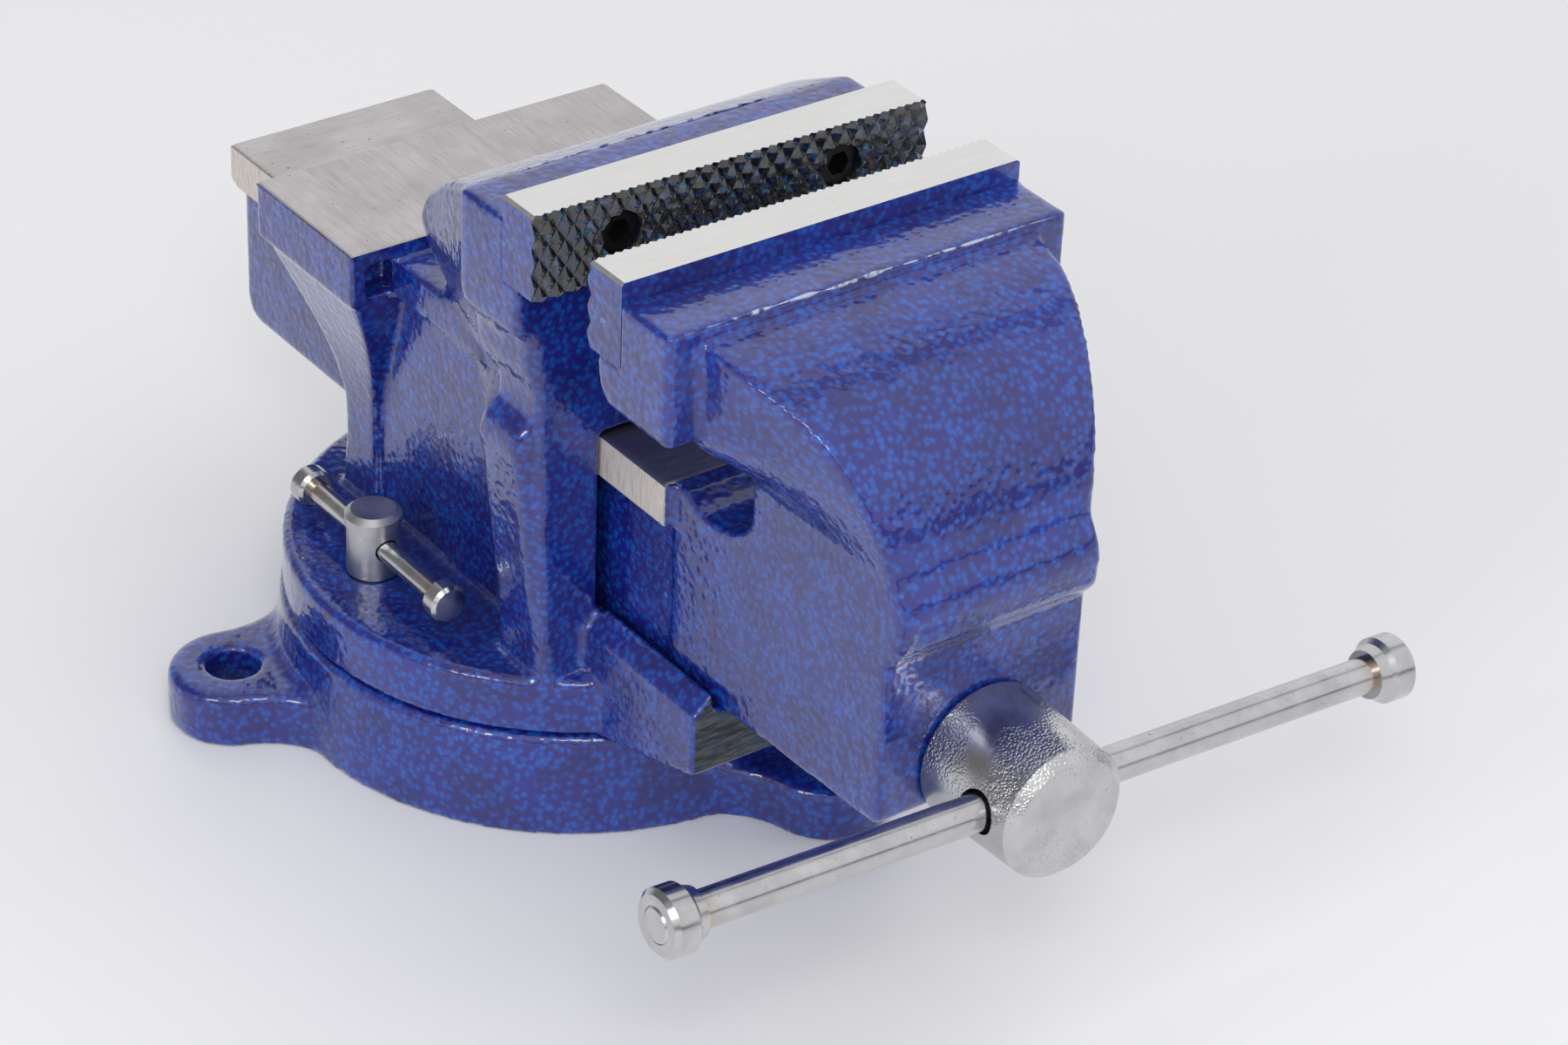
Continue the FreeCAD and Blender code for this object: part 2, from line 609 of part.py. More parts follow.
def nut_screw_places():
    across, along = size("nut_screw_spread") / 2, size("nut_screw_pitch") / 2
    return [(sx * across, nut_middle() + sy * along) for sx in (-1, 1) for sy in (-1, 1)]


def nut_screws_shape():
    screws = []
    floor = size("channel_floor")
    for x, y in nut_screw_places():
        screw = rod_z(size("cap_head"), floor + 2, floor + 6.6, x, y)
        screw = screw.fuse(rod_z(size("cap_shank"), floor - 10, floor + 2, x, y))
        socket = hex_prism(size("socket_flats"), 4)
        socket.translate(V(x, y, floor + 4.2))
        screws.append(screw.cut(socket))
    return Part.makeCompound(screws)


def handle_frame():
    """The handle's own axes: local Z runs along the bar, tilted about the spindle's axis."""
    y = size("block_front") - size("moving_gap") - size("spindle_head_long")
    tilt = FreeCAD.Rotation(Y_AXIS, 90 + size("handle_tilt"))
    return FreeCAD.Placement(V(0, y + size("handle_from_front"), size("spindle_level")), tilt)


def spindle_head_shape():
    """The round head at the front end, cross-drilled for the handle."""
    rear = size("block_front") - size("moving_gap")
    front = rear - size("spindle_head_long")
    head = Part.makeCone(size("spindle_head"), size("head_rear_radius"), rear - front,
                         V(0, front, size("spindle_level")), Y_AXIS)
    head = head.makeChamfer(size("spindle_head_edge"),
                            edges_where(head, lambda b: b.YMax < front + 0.1))
    head = round_edges(head, 1, lambda b: b.YMin > rear - 0.1)
    cross = Part.makeCylinder(size("handle_hole"), 60, V(0, 0, -30))
    cross.Placement = handle_frame().multiply(cross.Placement)
    socket = rod_y(size("spindle_thread"), rear - 9, rear + 1, 0, size("spindle_level"))
    return head.cut([cross, socket])


def spindle_head_rear():
    return size("block_front") - size("moving_gap")


def along_y(obj, y):
    """Stands a turned part's axis along +Y on the spindle's line, starting at y."""
    obj.Placement = FreeCAD.Placement(V(0, y, size("spindle_level")),
                                      FreeCAD.Rotation(Z_AXIS, Y_AXIS))
    bind(obj, **{"Placement.Base.z": "spindle_level"})
    return obj


def cross_drilled(label, blank, radius, placement):
    """A turned blank with a round hole straight through it."""
    drill = doc.addObject("Part::Cylinder", f"{label}_drill")
    bind(drill, Radius=radius)
    drill.Height = 80
    drill.Placement = placement.multiply(FreeCAD.Placement(V(0, 0, -40), FreeCAD.Rotation()))
    cut = doc.addObject("Part::Cut", label)
    cut.Label = label
    cut.Base, cut.Tool = blank, drill
    return cut


def collar_pin_frame():
    """The pin runs upright through the middle of the collar."""
    collar_y = (spindle_head_rear() + size("journal_long") - size("collar_long") / 2)
    return FreeCAD.Placement(V(0, collar_y, size("spindle_level")), FreeCAD.Rotation())


def add_spindle():
    """The spindle rod with its collar, washer and pin."""
    blank = turned("spindle_blank", [
        ("", ""), ("spindle_thread", ""), ("spindle_thread", "spindle_spigot"),
        ("journal", "spindle_spigot"), ("journal", "spindle_spigot journal_long"),
        ("spindle_thread", "spindle_spigot journal_long"),
        ("spindle_thread", "spindle_long -spindle_tip"),
        ("spindle_thread -spindle_tip", "spindle_long"), ("", "spindle_long"),
    ])
    rear = spindle_head_rear()
    along_y(blank, rear - size("spindle_spigot"))
    cross_drilled("spindle_screw", blank, "pin_radius", collar_pin_frame())

    washer_y = rear + size("journal_long") - size("collar_long") - size("thrust_washer_thick")
    washer = turned("thrust_washer", [
        ("journal", ""), ("thrust_washer", ""), ("thrust_washer", "thrust_washer_thick"),
        ("journal", "thrust_washer_thick"),
    ])
    along_y(washer, washer_y)

    ring = turned("collar_blank", [
        ("journal", ""), ("collar -spindle_tip", ""), ("collar", "spindle_tip"),
        ("collar", "collar_long"), ("journal", "collar_long"),
    ])
    along_y(ring, washer_y + size("thrust_washer_thick"))
    cross_drilled("retaining_collar", ring, "pin_radius", collar_pin_frame())

    pin = doc.addObject("Part::Cylinder", "collar_pin")
    bind(pin, Radius="pin_radius", Height="collar collar -spindle_tip")
    half = total("collar collar -spindle_tip") / 2
    pin.Placement = collar_pin_frame().multiply(
        FreeCAD.Placement(V(0, 0, -half), FreeCAD.Rotation()))


def add_handle():
    """The sliding bar with a riveted knob at each end."""
    start = -size("handle_long") / 2 + size("handle_shift")
    bar = turned("handle_bar", [
        ("", ""), ("handle_radius -handle_edge", ""), ("handle_radius", "handle_edge"),
        ("handle_radius", "handle_long -handle_edge"),
        ("handle_radius -handle_edge", "handle_long"), ("", "handle_long"),
    ])
    bar.Placement = handle_frame().multiply(
        FreeCAD.Placement(V(0, 0, start), FreeCAD.Rotation()))
    for label, side in (("handle_cap_left", -1), ("handle_cap_right", 1)):
        knob = turned(label, [
            ("handle_radius", ""), ("knob_hub", ""),
            ("knob_radius -knob_bevel", "knob_taper"), ("knob_radius", "knob_taper knob_bevel"),
            ("knob_radius", "knob_long -knob_bevel"), ("knob_radius -knob_bevel", "knob_long"),
            ("handle_radius", "knob_long"),
        ])
        reach = size("handle_long") / 2 - size("knob_long") - size("knob_inset")
        knob.Placement = handle_frame().multiply(FreeCAD.Placement(
            V(0, 0, size("handle_shift") + side * reach), FreeCAD.Rotation(Z_AXIS, V(0, 0, side))))


# ---------------------------------------------------------------- lock screws and pivot

def lock_bar_frame(side):
    """The sliding bar's axes for one lock screw: local Z runs along +Y."""
    level = disc_top() + size("moving_gap") + size("lock_bar_level")
    return FreeCAD.Placement(V(side * size("lock_across"), size("lock_along"), level),
                             FreeCAD.Rotation(Z_AXIS, Y_AXIS))


def t_nut_shape(side):
    """The nut in the base's ring slot: a flat block with a guide boss, tapped through."""
    low = size("t_nut_low")
    mid, roof = low + size("t_nut_thick"), low + size("t_nut_thick") + size("t_nut_boss_tall")
    half, run = size("t_nut_half"), size("t_nut_side")
    neck, boss = size("t_nut_neck"), size("t_nut_boss")
    nut = block(-half, half, -run, run, low, mid).fuse(block(-neck, neck, -boss, boss, mid, roof))
    nut = nut.cut(rod_z(size("lock_thread"), 0, 40)).removeSplitter()
    x, y = side * size("lock_across"), size("lock_along")
    nut.rotate(V(0, 0, 0), Z_AXIS, math.degrees(math.atan2(y, x)))
    nut.translate(V(x, y, 0))
    return nut


def add_lock(name, side):
    """One clamping screw with its tee bar, the bar's two caps and the nut below."""
    blank = turned(f"lock_blank_{name}", [
        ("", ""), ("lock_thread", ""), ("lock_thread", "lock_reach"), ("lock_neck", "lock_reach"),
        ("lock_neck", "lock_reach lock_neck_tall"), ("lock_head", "lock_reach lock_neck_tall"),
        ("lock_head", "lock_reach lock_neck_tall lock_lip"),
        ("lock_head -lock_crown_inset", "lock_reach lock_neck_tall lock_lip lock_crown"),
        ("", "lock_reach lock_neck_tall lock_lip lock_crown"),
    ])
    place(blank, y="lock_along",
          z="base_height moving_gap disc_thick moving_gap -lock_reach")
    blank.setExpression("Placement.Base.x", f"{side} * params.lock_across")
    frame = lock_bar_frame(side)
    cross_drilled(f"lock_screw_{name}", blank, "lock_bar_hole", frame)

    half = size("lock_bar_long") / 2
    shift = size("lock_bar_shift")
    bar = doc.addObject("Part::Cylinder", f"lock_bar_{name}")
    bind(bar, Radius="lock_bar", Height="lock_bar_long")
    bar.Placement = frame.multiply(FreeCAD.Placement(V(0, 0, shift - half), FreeCAD.Rotation()))

    caps = []
    for end in (-1, 1):
        cap = turned(f"lock_cap_{name}_{end + 1}", [
            ("lock_bar", ""), ("lock_cap -lock_cap_bevel", ""), ("lock_cap", "lock_cap_bevel"),
            ("lock_cap", "lock_cap_long -lock_cap_bevel"),
            ("lock_cap -lock_cap_bevel", "lock_cap_long"), ("lock_bar", "lock_cap_long"),
        ])
        reach = half - size("lock_cap_long")
        cap.Placement = frame.multiply(FreeCAD.Placement(
            V(0, 0, shift + end * reach), FreeCAD.Rotation(Z_AXIS, V(0, 0, end))))
        caps.append(cap)
    pair = doc.addObject("Part::Compound", f"lock_bar_caps_{name}")
    pair.Links = caps
    feature(f"lock_t_nut_{name}", t_nut_shape(side))


def add_pivot():
    """The bolt that holds the body down on the base, with its washer."""
    low = size("pivot_recess_deep") - size("moving_gap") - size("pivot_washer_thick")
    washer = turned("pivot_washer", [
        ("pivot_radius", ""), ("pivot_washer_radius", ""),
        ("pivot_washer_radius", "pivot_washer_thick"), ("pivot_radius", "pivot_washer_thick"),
    ])
    place(washer, z="pivot_recess_deep -moving_gap -pivot_washer_thick")
    hexagon = doc.addObject("Part::Prism", "pivot_bolt_head")
    hexagon.Polygon = 6
    hexagon.setExpression("Circumradius", "params.pivot_head_flats / sqrt(3)")
    bind(hexagon, Height="pivot_head_tall")
    hexagon.Placement.Base = V(0, 0, low - size("pivot_head_tall"))
    shank = doc.addObject("Part::Cylinder", "pivot_bolt_shank")
    bind(shank, Radius="pivot_radius", Height="pivot_shank")
    shank.Placement.Base = V(0, 0, low)
    bolt = doc.addObject("Part::MultiFuse", "pivot_bolt")
    bolt.Shapes = [hexagon, shank]


# ---------------------------------------------------------------- build and export

NODES = (
    "swivel_base", "pivot_bolt", "pivot_washer", "fixed_body", "fixed_jaw_plate",
    "fixed_jaw_screws", "spindle_nut", "nut_screws", "movable_jaw", "moving_jaw_plate",
    "moving_jaw_screws", "spindle_screw", "spindle_head", "thrust_washer", "retaining_collar",
    "collar_pin", "handle_bar", "handle_cap_left", "handle_cap_right",
    "lock_screw_left", "lock_bar_left", "lock_bar_caps_left", "lock_t_nut_left",
    "lock_screw_right", "lock_bar_right", "lock_bar_caps_right", "lock_t_nut_right",
)

feature("swivel_base", swivel_base_shape())
feature("fixed_body", fixed_body_shape())
feature("movable_jaw", movable_jaw_shape())
feature("spindle_nut", spindle_nut_shape())
feature("nut_screws", nut_screws_shape())
feature("spindle_head", spindle_head_shape())
jaw_plate("fixed_jaw_plate", size("fixed_face"), 1)
jaw_plate("moving_jaw_plate", moving_face(), -1)
feature("fixed_jaw_screws", plate_screws_shape(size("fixed_face"), 1))
feature("moving_jaw_screws", plate_screws_shape(moving_face(), -1))
add_spindle()
add_handle()
add_pivot()
add_lock("left", -1)
add_lock("right", 1)
doc.recompute()

for obj in doc.Objects:
    if {"Invalid", "Error"} & set(obj.State):
        raise RuntimeError(f"{obj.Label} did not compute: {obj.State}")

os.makedirs("parts", exist_ok=True)
for label in NODES:
    node = doc.getObjectsByLabel(label)[0]
    if node.Shape.isNull() or not node.Shape.isValid():
        raise RuntimeError(f"{label} has no valid shape")
    node.Shape.exportStep(f"parts/{label}.step")
    print(f"{label}: {len(node.Shape.Solids)} solid(s), {node.Shape.Volume:.0f} mm3")
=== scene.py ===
"""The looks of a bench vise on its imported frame: metres, +Z up, front towards -Y."""
import json
import math

import bmesh
import bpy
import numpy as np
from mathutils import Matrix, Vector, noise


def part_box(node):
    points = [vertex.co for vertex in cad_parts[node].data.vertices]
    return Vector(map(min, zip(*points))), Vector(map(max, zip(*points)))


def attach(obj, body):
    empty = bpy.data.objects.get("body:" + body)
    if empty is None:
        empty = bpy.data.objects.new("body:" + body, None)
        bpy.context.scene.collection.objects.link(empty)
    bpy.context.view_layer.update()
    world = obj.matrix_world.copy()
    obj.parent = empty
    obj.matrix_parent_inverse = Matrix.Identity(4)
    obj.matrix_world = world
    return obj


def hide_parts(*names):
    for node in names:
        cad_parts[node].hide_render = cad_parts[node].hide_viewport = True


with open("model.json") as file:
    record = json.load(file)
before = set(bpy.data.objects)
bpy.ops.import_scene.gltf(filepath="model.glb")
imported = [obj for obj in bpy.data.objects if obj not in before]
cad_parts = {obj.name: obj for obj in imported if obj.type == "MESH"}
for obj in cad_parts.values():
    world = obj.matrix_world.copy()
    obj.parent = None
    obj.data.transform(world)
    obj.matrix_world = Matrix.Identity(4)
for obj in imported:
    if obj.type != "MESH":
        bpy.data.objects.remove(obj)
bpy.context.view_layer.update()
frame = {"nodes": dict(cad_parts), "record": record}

MM = 0.001
NODES = frame["nodes"]
SCENE = bpy.context.scene

MOUNTS = {mount["name"]: mount for mount in frame["record"]["mounts"]}

# Places on the castings, in millimetres, as the frame has them.
ANVIL_TOP = MOUNTS["anvil_table"]["pos_m"][2] / MM
ANVIL_FRONT, PAST_ANVIL = 17.6, 80          # the table starts at the first and ends before the second
FLANGE_FRONT, PAST_SLIDE = -75.5, 130       # so does the slide's flange
FLANGE_TOP = 97.3
FLANGE_UNDER = 86.5
FLANGE_SIDE = 28.0
TONGUE_FRONT = -94.0
LEDGE_FRONT, LEDGE_TOP = -106.0, 154.0
HEAD_BACK, HEAD_TOP = -30.2, 153.2


# ---------------------------------------------------------------- meshes

def new_piece(name, mesh, body, slot, *replaced):
    """A piece in the scene that rides on a body and stands for CAD nodes."""
    piece = bpy.data.objects.new(name, mesh)
    SCENE.collection.objects.link(piece)
    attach(piece, body)
    if replaced:
        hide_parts(*replaced)
    return piece


def applied(mesh, modifiers):
    """The mesh after a list of (type, settings) modifiers."""
    carrier = bpy.data.objects.new("carrier", mesh)
    SCENE.collection.objects.link(carrier)
    for kind, settings in modifiers:
        modifier = carrier.modifiers.new(kind.lower(), kind)
        for key, value in settings.items():
            setattr(modifier, key, value)
    graph = bpy.context.evaluated_depsgraph_get()
    result = bpy.data.meshes.new_from_object(carrier.evaluated_get(graph), depsgraph=graph)
    bpy.data.objects.remove(carrier)
    return result


def joined_copy(node):
    """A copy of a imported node's mesh with its split corners joined and no stored normals."""
    mesh = NODES[node].data.copy()
    stored = mesh.attributes.get("custom_normal")
    if stored:
        mesh.attributes.remove(stored)
    net = bmesh.new()
    net.from_mesh(mesh)
    bmesh.ops.remove_doubles(net, verts=net.verts, dist=0.002 * MM)
    net.to_mesh(mesh)
    net.free()
    mesh.materials.clear()
    return mesh


def mesh_from(points, faces, name):
    """A mesh from points and faces, with doubled points joined and its faces turned outwards."""
    net = bmesh.new()
    made = [net.verts.new(p) for p in points]
    for face in faces:
        net.faces.new([made[i] for i in face])
    bmesh.ops.remove_doubles(net, verts=net.verts, dist=0.01 * MM)
    bmesh.ops.dissolve_degenerate(net, edges=net.edges, dist=0.01 * MM)
    bmesh.ops.recalc_face_normals(net, faces=net.faces)
    mesh = bpy.data.meshes.new(name)
    net.to_mesh(mesh)
    net.free()
    return mesh


def shade(mesh, angle=35):
    """Smooth shading that breaks at edges sharper than the angle in degrees."""
    mesh.shade_smooth()
    mesh.set_sharp_from_angle(angle=math.radians(angle))


# ---------------------------------------------------------------- finishes

class Finish:
    """A node material on one Principled surface, with short calls for its textures."""

    def __init__(self, name, **settings):
        self.material = bpy.data.materials.new(name)
        self.material.use_nodes = True
        self.tree = self.material.node_tree
        self.surface = self.tree.nodes["Principled BSDF"]
        texture_places = self.tree.nodes.new("ShaderNodeTexCoord")
        self.place = texture_places.outputs["Object"]
        self.normal = texture_places.outputs["Normal"]
        self.set(**settings)

    def set(self, **settings):
        """Values or links for the surface's own sockets, named with _ for a space."""
        for name, value in settings.items():
            socket = self.surface.inputs[name.replace("_", " ")]
            self.feed(socket, value)

    def feed(self, socket, value):
        """Links a socket to an output, or sets its plain value."""
        if isinstance(value, bpy.types.NodeSocket):
            self.tree.links.new(value, socket)
        elif isinstance(value, tuple) and len(value) == 3 and socket.type == "RGBA":
            socket.default_value = (*value, 1)
        else:
            socket.default_value = value

    def node(self, kind, output, inputs, **settings):
        """One node with its inputs fed, and the output asked for."""
        node = self.tree.nodes.new("ShaderNode" + kind)
        for key, value in settings.items():
            setattr(node, key, value)
        for key, value in inputs.items():
            self.feed(node.inputs[key], value)
        return node.outputs[output]

    def stretched(self, scale, turn=(0, 0, 0)):
        """The object's own coordinates, scaled along each axis."""
        angles = tuple(math.radians(a) for a in turn)
        return self.node("Mapping", 0, {"Vector": self.place, "Scale": scale, "Rotation": angles})

    def grain(self, size, detail=3, roughness=0.5, stretch=(1, 1, 1), turn=(0, 0, 0)):
        """Noise whose blobs measure about size millimetres."""
        inputs = {"Vector": self.stretched(stretch, turn), "Scale": 1 / (size * MM),
                  "Detail": detail, "Roughness": roughness}
        return self.node("TexNoise", 0, inputs)

    def cells(self, size, warp=0.25, smooth=0.6):
        """Rounded cells about size millimetres across: low in their middles, high at their borders."""
        wobble = self.node("TexNoise", "Color", {"Vector": self.place, "Scale": 1 / (size * 1.6 * MM),
                                                 "Detail": 2})
        moved = self.node("VectorMath", 0, {0: wobble, 1: (size * warp * MM,) * 3},
                          operation="MULTIPLY")
        place = self.node("VectorMath", 0, {0: self.place, 1: moved}, operation="ADD")
        inputs = {"Vector": place, "Scale": 1 / (size * MM), "Smoothness": smooth}
        return self.node("TexVoronoi", "Distance", inputs, feature="SMOOTH_F1")

    def fit(self, value, low, high, to_low=0.0, to_high=1.0, kind="SMOOTHSTEP"):
        """A value eased from one range to another."""
        inputs = {"Value": value, "From Min": low, "From Max": high, "To Min": to_low, "To Max": to_high}
        return self.node("MapRange", 0, inputs, interpolation_type=kind)

    def math(self, operation, first, second=0.0):
        """One arithmetic step."""
        return self.node("Math", 0, {0: first, 1: second}, operation=operation)

    def product(self, *values):
        """All the values multiplied together."""
        result = values[0]
        for value in values[1:]:
            result = self.math("MULTIPLY", result, value)
        return result

    def mix(self, factor, first, second):
        """A colour between two colours."""
        return self.node("MixRGB", 0, {"Fac": factor, "Color1": first, "Color2": second})

    def between(self, factor, first, second):
        """A number between two numbers."""
        return self.fit(factor, 0, 1, first, second, "LINEAR")

    def axis(self, vector, letter):
        """One component of a vector."""
        return self.node("SeparateXYZ", letter, {0: vector})

    def bump(self, height, depth, strength, under=None):
        """A surface normal from a height of 0 to 1, depth millimetres high."""
        inputs = {"Height": height, "Distance": depth * MM, "Strength": strength}
        if under:
            inputs["Normal"] = under
        return self.node("Bump", 0, inputs)


def paint_layers(finish):
    """Hammered enamel: blue flakes in violet-navy veins, under a clear glossy skin."""
    cell = finish.cells(1.6, warp=0.25, smooth=0.55)
    patches = finish.grain(14, 3, 0.6)
    fine = finish.grain(0.4, 2)
    flake = finish.fit(cell, 0.61, 0.17)
    flake = finish.product(flake, finish.fit(patches, 0.3, 0.7, 0.55, 1.0),
                           finish.fit(fine, 0.2, 0.75, 0.6, 1.15))
    veins = finish.mix(finish.fit(patches, 0.35, 0.7), (0.009, 0.010, 0.14), (0.010, 0.018, 0.23))
    colour = finish.mix(flake, veins, (0.006, 0.092, 0.46))
    chip = finish.product(finish.fit(finish.node("NewGeometry", "Pointiness", {}), 0.55, 0.59),
                          finish.fit(finish.grain(5, 4, 0.7), 0.66, 0.70))
    colour = finish.mix(chip, colour, (0.08, 0.34, 0.50))
    swell = finish.cells(1.9, smooth=0.9)
    waves = finish.bump(finish.grain(6, 2), 0.40, 0.5)
    skin = finish.bump(swell, 0.20, 0.7, waves)
    return {"colour": colour, "rough": finish.fit(fine, 0.3, 0.7, 0.22, 0.34), "skin": skin}


PAINT = {"IOR": 1.45, "Coat_IOR": 1.5, "Coat_Roughness": 0.08, "Specular_Tint": (0.92, 0.88, 1.0)}


def paint():
    """The enamel on its own."""
    finish = Finish("blue_hammered_enamel", Coat_Weight=1.0, Metallic=0.0, **PAINT)
    layers = paint_layers(finish)
    finish.set(Base_Color=layers["colour"], Roughness=layers["rough"], Normal=layers["skin"])
    finish.set(Coat_Normal=layers["skin"])
    return finish.material


def machined_layers(finish, along):
    """Ground cast iron: grey with fine marks along one axis, faint stains and small pits."""
    stretch = {"X": (0.04, 1, 1), "Y": (1, 0.04, 1), "Z": (1, 1, 0.04)}[along]
    marks = finish.grain(0.35, 2, 0.6, stretch)
    bands = finish.grain(2.6, 2, 0.6, stretch)
    stains = finish.grain(20, 4, 0.65)
    pits = finish.fit(finish.grain(1.1, 2, 0.4), 0.735, 0.76)
    grey = finish.mix(finish.fit(stains, 0.3, 0.7), (0.50, 0.475, 0.455), (0.61, 0.59, 0.575))
    grey = finish.mix(finish.product(finish.fit(marks, 0.35, 0.7), 0.3), grey, (0.36, 0.34, 0.32))
    grey = finish.mix(finish.product(finish.fit(bands, 0.5, 0.75), 0.3), grey, (0.34, 0.32, 0.31))
    grey = finish.mix(pits, grey, (0.10, 0.09, 0.08))
    rough = finish.fit(marks, 0.3, 0.7, 0.30, 0.44)
    return {"colour": grey, "rough": rough, "height": marks}


def part_machined(name, along, masks):
    """A casting's finish: enamel, and bare ground iron wherever one of the masks is 1."""
    finish = Finish(name, **PAINT)
    bare = masks(finish)
    enamel = paint_layers(finish)
    iron = machined_layers(finish, along)
    saw = finish.product(finish.fit(finish.grain(0.7, 3, 0.7, (1, 1, 0.12)), 0.45, 0.7), 0.5)
    ragged = finish.fit(finish.math("ADD", bare, finish.fit(finish.grain(1.5), 0.3, 0.7, -0.2, 0.2)),
                        0.45, 0.55)
    sideways = finish.fit(finish.math("ABSOLUTE", finish.axis(finish.normal, "X")), 0.8, 0.9)
    flank = finish.mix(saw, (0.70, 0.64, 0.58), (0.20, 0.16, 0.12))
    ground = finish.mix(finish.product(sideways, 0.8), iron["colour"], flank)
    finish.set(Base_Color=finish.mix(ragged, enamel["colour"], ground))
    finish.set(Roughness=finish.between(ragged, enamel["rough"], iron["rough"]))
    finish.set(Metallic=finish.product(ragged, finish.between(sideways, 1.0, 0.2)))
    finish.set(Coat_Weight=finish.math("SUBTRACT", 1.0, ragged))
    marks = finish.bump(iron["height"], 0.01, 0.5)
    normal = finish.mix(ragged, enamel["skin"], marks)
    finish.set(Normal=normal, Coat_Normal=normal)
    return finish.material


def inside(finish, letter, low, high, ease=0.15):
    """1 where a coordinate is between two places in millimetres."""
    value = finish.axis(finish.place, letter)
    above = finish.fit(value, (low - ease) * MM, (low + ease) * MM)
    below = finish.fit(value, (high + ease) * MM, (high - ease) * MM)
    return finish.product(above, below)


def anvil_mask(finish):
    """The anvil's ground table."""
    upwards = finish.fit(finish.axis(finish.normal, "Z"), 0.75, 0.9)
    return finish.product(inside(finish, "Z", ANVIL_TOP - 0.5, ANVIL_TOP + 1),
                          inside(finish, "Y", ANVIL_FRONT, PAST_ANVIL), upwards)


def slide_mask(finish):
    """The slide's ground flange: its top and both of its sides."""
    flange = finish.product(inside(finish, "Y", FLANGE_FRONT + 0.2, PAST_SLIDE),
                            inside(finish, "Z", FLANGE_UNDER, FLANGE_TOP + 1))
    top = inside(finish, "Z", FLANGE_TOP - 0.4, FLANGE_TOP + 1)
    side = finish.fit(finish.math("ABSOLUTE", finish.axis(finish.place, "X")),
                      (FLANGE_SIDE - 0.5) * MM, (FLANGE_SIDE - 0.3) * MM)
    return finish.product(flange, finish.math("MAXIMUM", top, side))


def ground_steel():
    """The ground faces of the jaw plates: pale, with marks along the jaw and a few dark pits."""
    finish = Finish("ground_plate_steel", Metallic=1.0)
    layers = machined_layers(finish, "X")
    pale = finish.mix(0.75, layers["colour"], (0.84, 0.84, 0.82))
    finish.set(Base_Color=pale, Roughness=finish.fit(layers["height"], 0.3, 0.7, 0.28, 0.42))
    finish.set(Normal=finish.bump(layers["height"], 0.02, 0.6))
    return finish.material


def knurl_black():
    """Glossy black knurling, painted pale along its ridges as a painted highlight for their glints, with
    blue enamel in some grooves.
    """
    finish = Finish("knurl_black", IOR=1.6, Coat_Weight=1.0, Coat_Roughness=0.05)
    pools = finish.fit(finish.grain(2.4, 2, 0.5), 0.50, 0.62)
    scratch = finish.grain(0.45, 3, 0.7, (1, 1, 0.3))
    colour = finish.mix(finish.fit(scratch, 0.4, 0.75), (0.003, 0.003, 0.003), (0.020, 0.019, 0.018))
    colour = finish.mix(finish.product(pools, 0.7), colour, (0.004, 0.016, 0.08))
    teal = finish.fit(finish.grain(2.0, 2, 0.5, turn=(40, 20, 10)), 0.60, 0.68)
    colour = finish.mix(finish.product(teal, 0.85), colour, (0.012, 0.10, 0.20))
    # Painted highlight: the ridges, found by pointiness, are painted pale and partly metallic to stand
    # for their glints.
    ridge = finish.fit(finish.node("NewGeometry", "Pointiness", {}), 0.58, 0.68)
    painted_glint = finish.product(ridge, finish.fit(finish.grain(1.2, 2), 0.40, 0.58))
    colour = finish.mix(finish.product(painted_glint, 0.8), colour, (0.55, 0.54, 0.52))
    finish.set(Base_Color=colour, Roughness=finish.fit(scratch, 0.3, 0.7, 0.18, 0.36))
    finish.set(Metallic=finish.product(painted_glint, 0.8), Normal=finish.bump(scratch, 0.08, 0.7))
    return finish.material


def plated(name, pits=0.0, tint=None, satin=0.0):
    """Bright zinc-nickel plating over turned steel, pitted where the forging shows through."""
    finish = Finish(name, Metallic=1.0)
    haze = finish.grain(9, 4, 0.6)
    fine = finish.grain(0.6, 3, 0.6)
    specks = finish.fit(finish.grain(0.9, 2, 0.5, turn=(30, 50, 10)), 0.69, 0.74)
    colour = finish.mix(finish.fit(haze, 0.3, 0.7), (0.47, 0.47, 0.48), (0.60, 0.60, 0.60))
    colour = finish.mix(finish.product(specks, 0.6), colour, (0.22, 0.20, 0.19))
    if tint:
        colour = finish.mix(tint(finish), colour, (0.50, 0.36, 0.24))
    finish.set(Base_Color=colour, Roughness=finish.fit(haze, 0.3, 0.7, 0.16 + satin, 0.27 + satin))
    normal = finish.bump(fine, 0.015, 0.5)
    if pits:
        forged = finish.fit(finish.cells(0.65), 0.15, 0.6)
        rough_side = finish.fit(finish.grain(12, 2), 0.38, 0.6)
        normal = finish.bump(finish.product(forged, rough_side), pits, 0.8, normal)
    finish.set(Normal=normal)
    return finish.material


def end_tint(letter, ends, width):
    """Heat tint in bands next to the riveted ends of a bar."""
    def tint(finish):
        value = finish.axis(finish.place, letter)
        wander = finish.grain(3, 2)
        bands = [finish.fit(finish.math("ABSOLUTE", finish.math("SUBTRACT", value, end)),
                            width * MM, 0.0, 0.0, 0.8) for end in ends]
        total = bands[0]
        for band in bands[1:]:
            total = finish.math("MAXIMUM", total, band)
        return finish.product(total, finish.fit(wander, 0.3, 0.6, 0.4, 1.0))
    return tint


def turned_steel():
    """Oiled turned steel for the thread and the inner fittings."""
    finish = Finish("oiled_turned_steel", Metallic=1.0)
    marks = finish.grain(0.5, 3, 0.6, (1, 0.3, 1))
    oil = finish.grain(6, 4, 0.6)
    colour = finish.mix(finish.fit(oil, 0.35, 0.7), (0.34, 0.33, 0.32), (0.20, 0.16, 0.11))
    finish.set(Base_Color=colour, Roughness=finish.fit(oil, 0.3, 0.7, 0.25, 0.45))
    finish.set(Normal=finish.bump(marks, 0.03, 0.6))
    return finish.material


